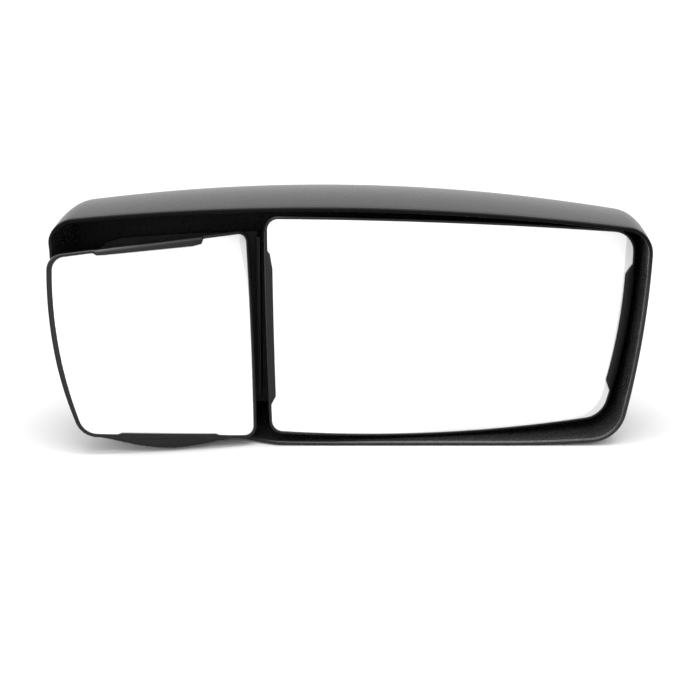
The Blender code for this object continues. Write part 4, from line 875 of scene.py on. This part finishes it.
def face_ring(glass, offset, depth, tabs=False, bow=0.0, scale=1.0, rounding=None):
    """Ring round a glass: offset out from its visible edge, depth behind the front of its lip.

    rounding: (how far in, how far raised) a ring of the rounded outer edge stands at a tab, as shares.
    """
    sides = glass["sides"]
    corners = glass["corners"]
    edge = outline(sides, corners)
    plain = outline(sides, corners, -offset)
    inner = outline(sides, corners, TAB_STEP - offset)
    is_outer = offset > glass["rim"] - 1.5 * EDGE_SOFT
    ring = []
    for (a, b), (x, z), (in_x, in_z) in zip(edge, plain, inner):
        tab = glass["tab"](a, b)
        if tabs:
            x += (in_x - x) * tab / TAB_STEP
            z += (in_z - z) * tab / TAB_STEP
        if is_outer:
            x -= glass["side_rim"] * outer_end(a, b)
        share = min(tab / LOW_TAB, 1.0)
        lift = TAB_RAISE * share if tabs or depth < LIP_FRONT / 2 else 0.0
        if rounding:
            lift = TAB_RAISE * share * rounding[1]
            x += (in_x - x) * TAB_ROUND * share * rounding[0] / TAB_STEP
            z += (in_z - z) * TAB_ROUND * share * rounding[0] / TAB_STEP
        z -= bow * ledge_bow(a, b)
        ring.append(face_point(glass, x * scale, z * scale, depth - lift))
    return ring


def to_rest(bm, pivot, tilt, yaw):
    """From the glass's own frame at its pivot to where it stands at rest."""
    bm.transform(Matrix.Translation(pivot) @ Matrix.Rotation(yaw, 4, "Z") @ Matrix.Rotation(tilt, 4, "X"))
    return bm


def closed_face(glass, rings, front_offset, front, back_offset, back):
    """Skin through rings; a curved glass has finer rings over its two faces."""
    if not glass["curve"]:
        return skin(rings)
    front_rings = [face_ring(glass, front_offset, front, scale=part) for part in INNER_RINGS]
    back_rings = [face_ring(glass, back_offset, back, scale=part) for part in reversed(INNER_RINGS)]
    front_middle = face_point(glass, 0, 0, front)
    back_middle = face_point(glass, 0, 0, back)
    return skin(front_rings + rings + back_rings, front_middle, back_middle)


def glass_sheet(name, glass, node, pivot, tilt, yaw):
    """The glass, chamfered all round, with its edge under the carrier's lip."""
    front = LIP_FRONT
    back = LIP_FRONT + GLASS_THICK
    inner = GLASS_UNDER_LIP - GLASS_CHAMFER
    rings = [
        face_ring(glass, inner, front),
        face_ring(glass, GLASS_UNDER_LIP, front + GLASS_CHAMFER),
        face_ring(glass, GLASS_UNDER_LIP, back - GLASS_CHAMFER),
        face_ring(glass, inner, back),
    ]
    bm = closed_face(glass, rings, inner, front, inner, back)
    place(name, mesh_from(to_rest(bm, pivot, tilt, yaw), name), node)


def carrier_rings(glass, bow):
    """Well behind the glass, lip over it with raised grip tabs, rounded edges, and the finger ledge."""
    well = GLASS_UNDER_LIP + GAP
    rim = glass["rim"]
    rings = [
        face_ring(glass, well, PLATE_FRONT),
        face_ring(glass, well, LIP_BACK),
        face_ring(glass, 0.0, LIP_BACK, tabs=True),
    ]
    for turn in quarter(LIP_INNER_STEPS):
        offset = LIP_INNER_SOFT * (1 - cos(turn))
        rings.append(face_ring(glass, offset, LIP_INNER_SOFT * (1 - sin(turn)), tabs=True))
    for turn in quarter(LIP_OUTER_STEPS):
        part = (1 - sin(turn), cos(turn))
        offset = rim - EDGE_SOFT * part[0]
        rings.append(face_ring(glass, offset, EDGE_SOFT * (1 - part[1]), rounding=part))
    rings.append(face_ring(glass, rim, LEDGE_DEPTH))
    for part, share in LEDGE_EDGE:
        rings.append(face_ring(glass, rim, LEDGE_DEPTH + part, bow=share * bow))
    rings.append(face_ring(glass, rim, CARRIER_DEPTH - BACK_SOFT, bow=bow))
    rings.append(face_ring(glass, rim - BACK_SOFT, CARRIER_DEPTH, bow=bow))
    return rings


def ears(axis, near, far, radius, root):
    """Two ears with round ends about the pivot axis, growing out from depth root."""
    shapes = []
    for side in (-1, 1):
        low, high = sorted((side * near, side * far))
        if axis == "X":
            shapes.append(slab_between((low, root, -radius), (high, 0.0, radius)))
        else:
            shapes.append(slab_between((-radius, root, low), (radius, 0.0, high)))
        shapes.append(rod(radius, low, high, axis=axis))
    return shapes


def pin_holes(axis, radius, starts, length):
    return [rod(radius, start, start + length, axis=axis) for start in starts]


def main_sockets():
    """Gimbal ears and ball cups behind the main glass, as (solid parts, holes), in the pivot's frame."""
    root = CARRIER_DEPTH - MAIN_REACH - LIP_FRONT - MAIN_EAR_ROOT
    solid = ears("Z", root=root, **MAIN_EAR)
    holes = pin_holes("Z", **MAIN_PIN)
    cup = [(0.0, root), (CUP_FOOT, root), (CUP_RADIUS, root + CUP_FOOT_HEIGHT), (CUP_RADIUS, CUP_EDGE),
           (CUP_MOUTH, CUP_TOP), (0.0, CUP_TOP)]
    for x, z in ((LEVER, 0.0), (0.0, -LEVER)):
        solid.append(moved(turned(cup), x, z))
        holes.append(rod(x=x, z=z, **CUP_BORE))
    return solid, holes


def spotter_sockets():
    """Ears for the swivel cross behind the spotter, in the same form."""
    root = CARRIER_DEPTH - SPOT_REACH - LIP_FRONT - SPOT_SAG - SPOT_EAR_ROOT
    return ears("X", root=root, **SPOT_EAR), pin_holes("X", **SPOT_PIN)


def carrier(name, glass, bow, node, pivot, tilt, yaw, sockets):
    """Carrier dish, with the ears or cups of its CAD node joined on behind."""
    well = GLASS_UNDER_LIP + GAP
    bm = closed_face(glass, carrier_rings(glass, bow), well, PLATE_FRONT, glass["rim"], CARRIER_DEPTH)
    made = place(name, mesh_from(to_rest(bm, pivot, tilt, yaw), name), node)
    solid, holes = sockets
    combine(made, [to_rest(shape, pivot, tilt, yaw) for shape in solid], "UNION")
    combine(made, [to_rest(shape, pivot, tilt, yaw) for shape in holes])


# ---------------------------------------------------------------- screws, cable gland, clamp caps
# side that the head faces along Y, head radius, head height, shank radius
SCREWS = {
    "frame_screw_": (1, 0.0044, 0.0026, 0.0020),
    "bracket_bolt_": (1, 0.0055, 0.0045, 0.0030),
    "clamp_bolt_": (1, 0.0043, 0.0042, 0.0025),
    "actuator_screw_": (-1, 0.0040, 0.0026, 0.0020),
    "spotter_base_screw_": (-1, 0.0036, 0.0024, 0.0020),
}
SCREW_SEGMENTS = 48
HEX_WIDTH = 0.40           # shares of the head's radius ...
HEX_FLARE = 1.08
HEAD_FLAT = 0.86
HEX_DEPTH = 0.55           # ... of its height ...
HEX_POINT = 0.62
HEX_CHAMFER = 0.06
HEAD_ROUND = 0.30
HEAD_ROUND_STEPS = 5
HEAD_SEAT = 0.0001
THREAD_PITCH = 0.0008
THREAD_START = 0.002
THREAD_SPARE = 0.003
THREAD_ROOT = 0.86         # ... and of the shank's radius
TIP_SHOULDER = 0.9
TIP_LENGTH = 0.0006
TIP_FLAT = 0.55


def hexagon(reach, along):
    """Hexagon about Y with as many points as a screw's circles."""
    angles = [2 * pi * step / SCREW_SEGMENTS for step in range(SCREW_SEGMENTS)]
    reaches = [reach / cos((angle % (pi / 3)) - pi / 6) for angle in angles]
    return [Vector((out * cos(angle), along, out * sin(angle))) for out, angle in zip(reaches, angles)]


def screw_mesh(side, head, height, shank, seat, tip):
    """Screw about Y: hex recess, rounded head, a thread of ring grooves, and a pointed end."""
    def ring(radius, along):
        return round_ring(radius, along, SCREW_SEGMENTS)

    recess = HEX_WIDTH * head
    top = seat + side * height
    rings = [
        hexagon(recess, top - side * HEX_DEPTH * height),
        hexagon(recess, top - side * HEX_CHAMFER * height),
        hexagon(recess * HEX_FLARE, top),
    ]
    for turn in quarter(HEAD_ROUND_STEPS):
        radius = head * (HEAD_FLAT + (1 - HEAD_FLAT) * sin(turn))
        rings.append(ring(radius, top - side * HEAD_ROUND * height * (1 - cos(turn))))
    rings.append(ring(head, seat + side * HEAD_SEAT))
    rings.append(ring(head - HEAD_SEAT, seat))
    rings.append(ring(shank, seat))
    for step in range(int((abs(tip - seat) - THREAD_SPARE) / THREAD_PITCH)):
        near = seat - side * (THREAD_START + step * THREAD_PITCH)
        rings.append(ring(shank, near))
        rings.append(ring(shank * THREAD_ROOT, near - side * THREAD_PITCH / 2))
    rings.append(ring(shank * TIP_SHOULDER, tip + side * TIP_LENGTH))
    rings.append(ring(shank * TIP_FLAT, tip))
    return skin(rings, Vector((0.0, top - side * HEX_POINT * height, 0.0)), Vector((0.0, tip, 0.0)))


def screws():
    for family, (side, head, height, shank) in SCREWS.items():
        for node in body_nodes(family):
            low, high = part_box(node)
            top, tip = (high.y, low.y) if side > 0 else (low.y, high.y)
            bm = moved(screw_mesh(side, head, height, shank, top - side * height, tip), *middle_of(node))
            place(node + "_fine", mesh_from(bm, node + "_fine"), node)


def grommet():
    """Cable gland: a groove holds the shell's wall, and the outer lip narrows in soft steps to the outlet."""
    low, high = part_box("harness_grommet")
    back = shell_high.y
    inside = back - WALL - GAP
    flange = [(0.0054, low.y), (0.0106, low.y + 0.0002), (0.0110, low.y + 0.0006), (0.0110, inside)]
    groove = [(0.0086, inside), (0.0086, back + GAP)]
    outer_lip = [(0.0123, back + GAP), (0.0125, back + 0.0006), (0.0122, back + 0.0019),
                 (0.0118, back + 0.0024)]
    neck = [(0.0096, back + 0.0030), (0.0090, back + 0.0036), (0.0084, back + 0.0038),
            (0.0079, back + 0.0046), (0.0074, back + 0.0066), (0.0070, high.y)]
    bore = [(0.0056, high.y), (0.0051, high.y - 0.0004), (0.0050, high.y - 0.0010), (0.0050, low.y + 0.0006)]
    bm = moved(turned_ring(flange + groove + outer_lip + neck + bore, 72), *middle_of("harness_grommet"))
    place("grommet_fine", mesh_from(bm, "grommet_fine"), "harness_grommet")


CAP_STANDOFF = 0.0008      # between the tube's middle and the cap's ends
CAP_THICK = 0.0055
SEAT_CLEAR = 0.00015
EAR_TOP = 0.0068
ARCH_STEPS = 56
SEAT_STEPS = 64
CLAMP_BOLT_HOLE = 0.0028
CLAMP_HOLE_SPAN = (-0.01, 0.02)
CAP_SOFT = 0.0007


def half_arc(radius, start, steps):
    """Points of an arc over the top, from start above one side to as far above the other."""
    turns = [start + (pi - 2 * start) * step / steps for step in range(steps + 1)]
    return [(radius * cos(turn), radius * sin(turn)) for turn in turns]


def clamp_caps():
    """Arched caps over the arm tube, with rounded edges and a hole for each of their bolts."""
    for node in ("tube_clamp_cap_left", "tube_clamp_cap_right"):
        low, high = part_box(node)
        middle_z = (low.z + high.z) / 2
        half = (high.z - low.z) / 2
        axis_y = low.y - CAP_STANDOFF
        outer = high.y - axis_y
        bore = outer - CAP_THICK + SEAT_CLEAR
        arch = half_arc(outer, atan2(EAR_TOP, sqrt(outer**2 - EAR_TOP**2)), ARCH_STEPS)
        seat = half_arc(bore, atan2(CAP_STANDOFF, bore), SEAT_STEPS)
        points = [(half, CAP_STANDOFF), (half, EAR_TOP)] + arch
        points += [(-half, EAR_TOP), (-half, CAP_STANDOFF)] + seat[::-1]
        bm = skin([[Vector((x, axis_y + y, middle_z + z)) for z, y in points] for x in (low.x, high.x)])
        cap = place(node + "_fine", mesh_from(bm, node + "_fine"), node)
        bolts = [middle_of(bolt) for bolt in body_nodes("clamp_bolt_")]
        start, end = (axis_y + part for part in CLAMP_HOLE_SPAN)
        combine(cap, [rod(CLAMP_BOLT_HOLE, start, end, x, z) for x, z in bolts if low.x < x < high.x])
        soften(cap, CAP_SOFT)


# ---------------------------------------------------------------- CAD nodes that keep their shape
WELD = 0.000005
FLAT_ANGLE = 0.5
FINE_EDGE = 0.0004
FINE_SMOOTH = 50.0


def polish(node):
    """Copy a CAD node, weld it, soften its edges, and let the copy stand for it."""
    bm = bmesh.new()
    bm.from_mesh(frame["nodes"][node].data)
    bmesh.ops.remove_doubles(bm, verts=bm.verts, dist=WELD)
    bmesh.ops.dissolve_limit(bm, angle_limit=radians(FLAT_ANGLE), verts=bm.verts, edges=bm.edges)
    mesh = bpy.data.meshes.new(node + "_fine")
    bm.to_mesh(mesh)
    bm.free()
    soften(place(node + "_fine", mesh, node), FINE_EDGE)
    smooth_by_angle(mesh, FINE_SMOOTH)


MAIN_REST = (MAIN_PIVOT, 0.0, MAIN_YAW)
SPOT_REST = (SPOT_PIVOT, -SPOT_TILT, SPOT_YAW)

housing_shell()
carrier("main_carrier_dish", MAIN_GLASS, 0.0, "main_glass_carrier", *MAIN_REST, main_sockets())
carrier("spotter_carrier_dish", SPOT_GLASS, 1.0, "spotter_carrier", *SPOT_REST, spotter_sockets())
glass_sheet("main_glass_sheet", MAIN_GLASS, "main_glass", *MAIN_REST)
glass_sheet("spotter_glass_sheet", SPOT_GLASS, "spotter_glass", *SPOT_REST)
screws()
grommet()
clamp_caps()
for node in sorted(frame["nodes"]):
    if node not in placed:
        polish(node)

# ---------------------------------------------------------------- floor, light, camera
FLOOR_SIZE = 30.0
FLOOR_WHITE = (0.96, 0.96, 0.96, 1.0)
WORLD_WHITE = (1.0, 1.0, 1.0, 1.0)
WORLD_STRENGTH = 1.04
LIGHT_TARGET = Vector((0.0, -0.05, 0.1))
SOFTBOXES = {   # place, width and height, power
    "top_strip": ((0.0, -0.60, 2.0), (2.0, 0.30), 13.0),
    "front_strip": ((0.0, -1.50, 1.5), (1.6, 0.25), 6.0),
    "front_fill": ((0.0, -2.20, 0.48), (2.6, 0.85), 11.5),
}
FOCAL_LENGTH = 102.6
SENSOR_WIDTH = 36.0
AIM = Vector((-0.0039, RIM_Y, 0.0809))
DISTANCE = 1.5
ELEVATION = radians(15.0)

floor_mesh = bmesh.new()
bmesh.ops.create_grid(floor_mesh, x_segments=1, y_segments=1, size=FLOOR_SIZE)
floor = bpy.data.objects.new("floor", mesh_from(floor_mesh, "floor"))
bpy.context.scene.collection.objects.link(floor)
floor_finish, _, floor_shader = new_finish("floor_finish", 0.9, 0.0, 0.0)
floor_shader.inputs["Base Color"].default_value = FLOOR_WHITE
floor.data.materials.append(floor_finish)

world = bpy.data.worlds.new("studio")
world.use_nodes = True
world.node_tree.nodes["Background"].inputs["Color"].default_value = WORLD_WHITE
world.node_tree.nodes["Background"].inputs["Strength"].default_value = WORLD_STRENGTH
bpy.context.scene.world = world

for name, (location, size, power) in SOFTBOXES.items():
    light = bpy.data.lights.new(name, "AREA")
    light.shape = "RECTANGLE"
    light.size = size[0]
    light.size_y = size[1]
    light.energy = power
    lamp = bpy.data.objects.new(name, light)
    lamp.location = location
    lamp.rotation_euler = (LIGHT_TARGET - Vector(location)).to_track_quat("-Z", "Y").to_euler()
    bpy.context.scene.collection.objects.link(lamp)

camera = bpy.data.cameras.new("camera")
camera.lens = FOCAL_LENGTH
camera.sensor_width = SENSOR_WIDTH
eye = bpy.data.objects.new("camera", camera)
eye.location = AIM + DISTANCE * Vector((0.0, -cos(ELEVATION), sin(ELEVATION)))
eye.rotation_euler = (pi / 2 - ELEVATION, 0.0, 0.0)
bpy.context.scene.collection.objects.link(eye)
bpy.context.scene.camera = eye
bpy.context.scene.view_settings.view_transform = "Standard"
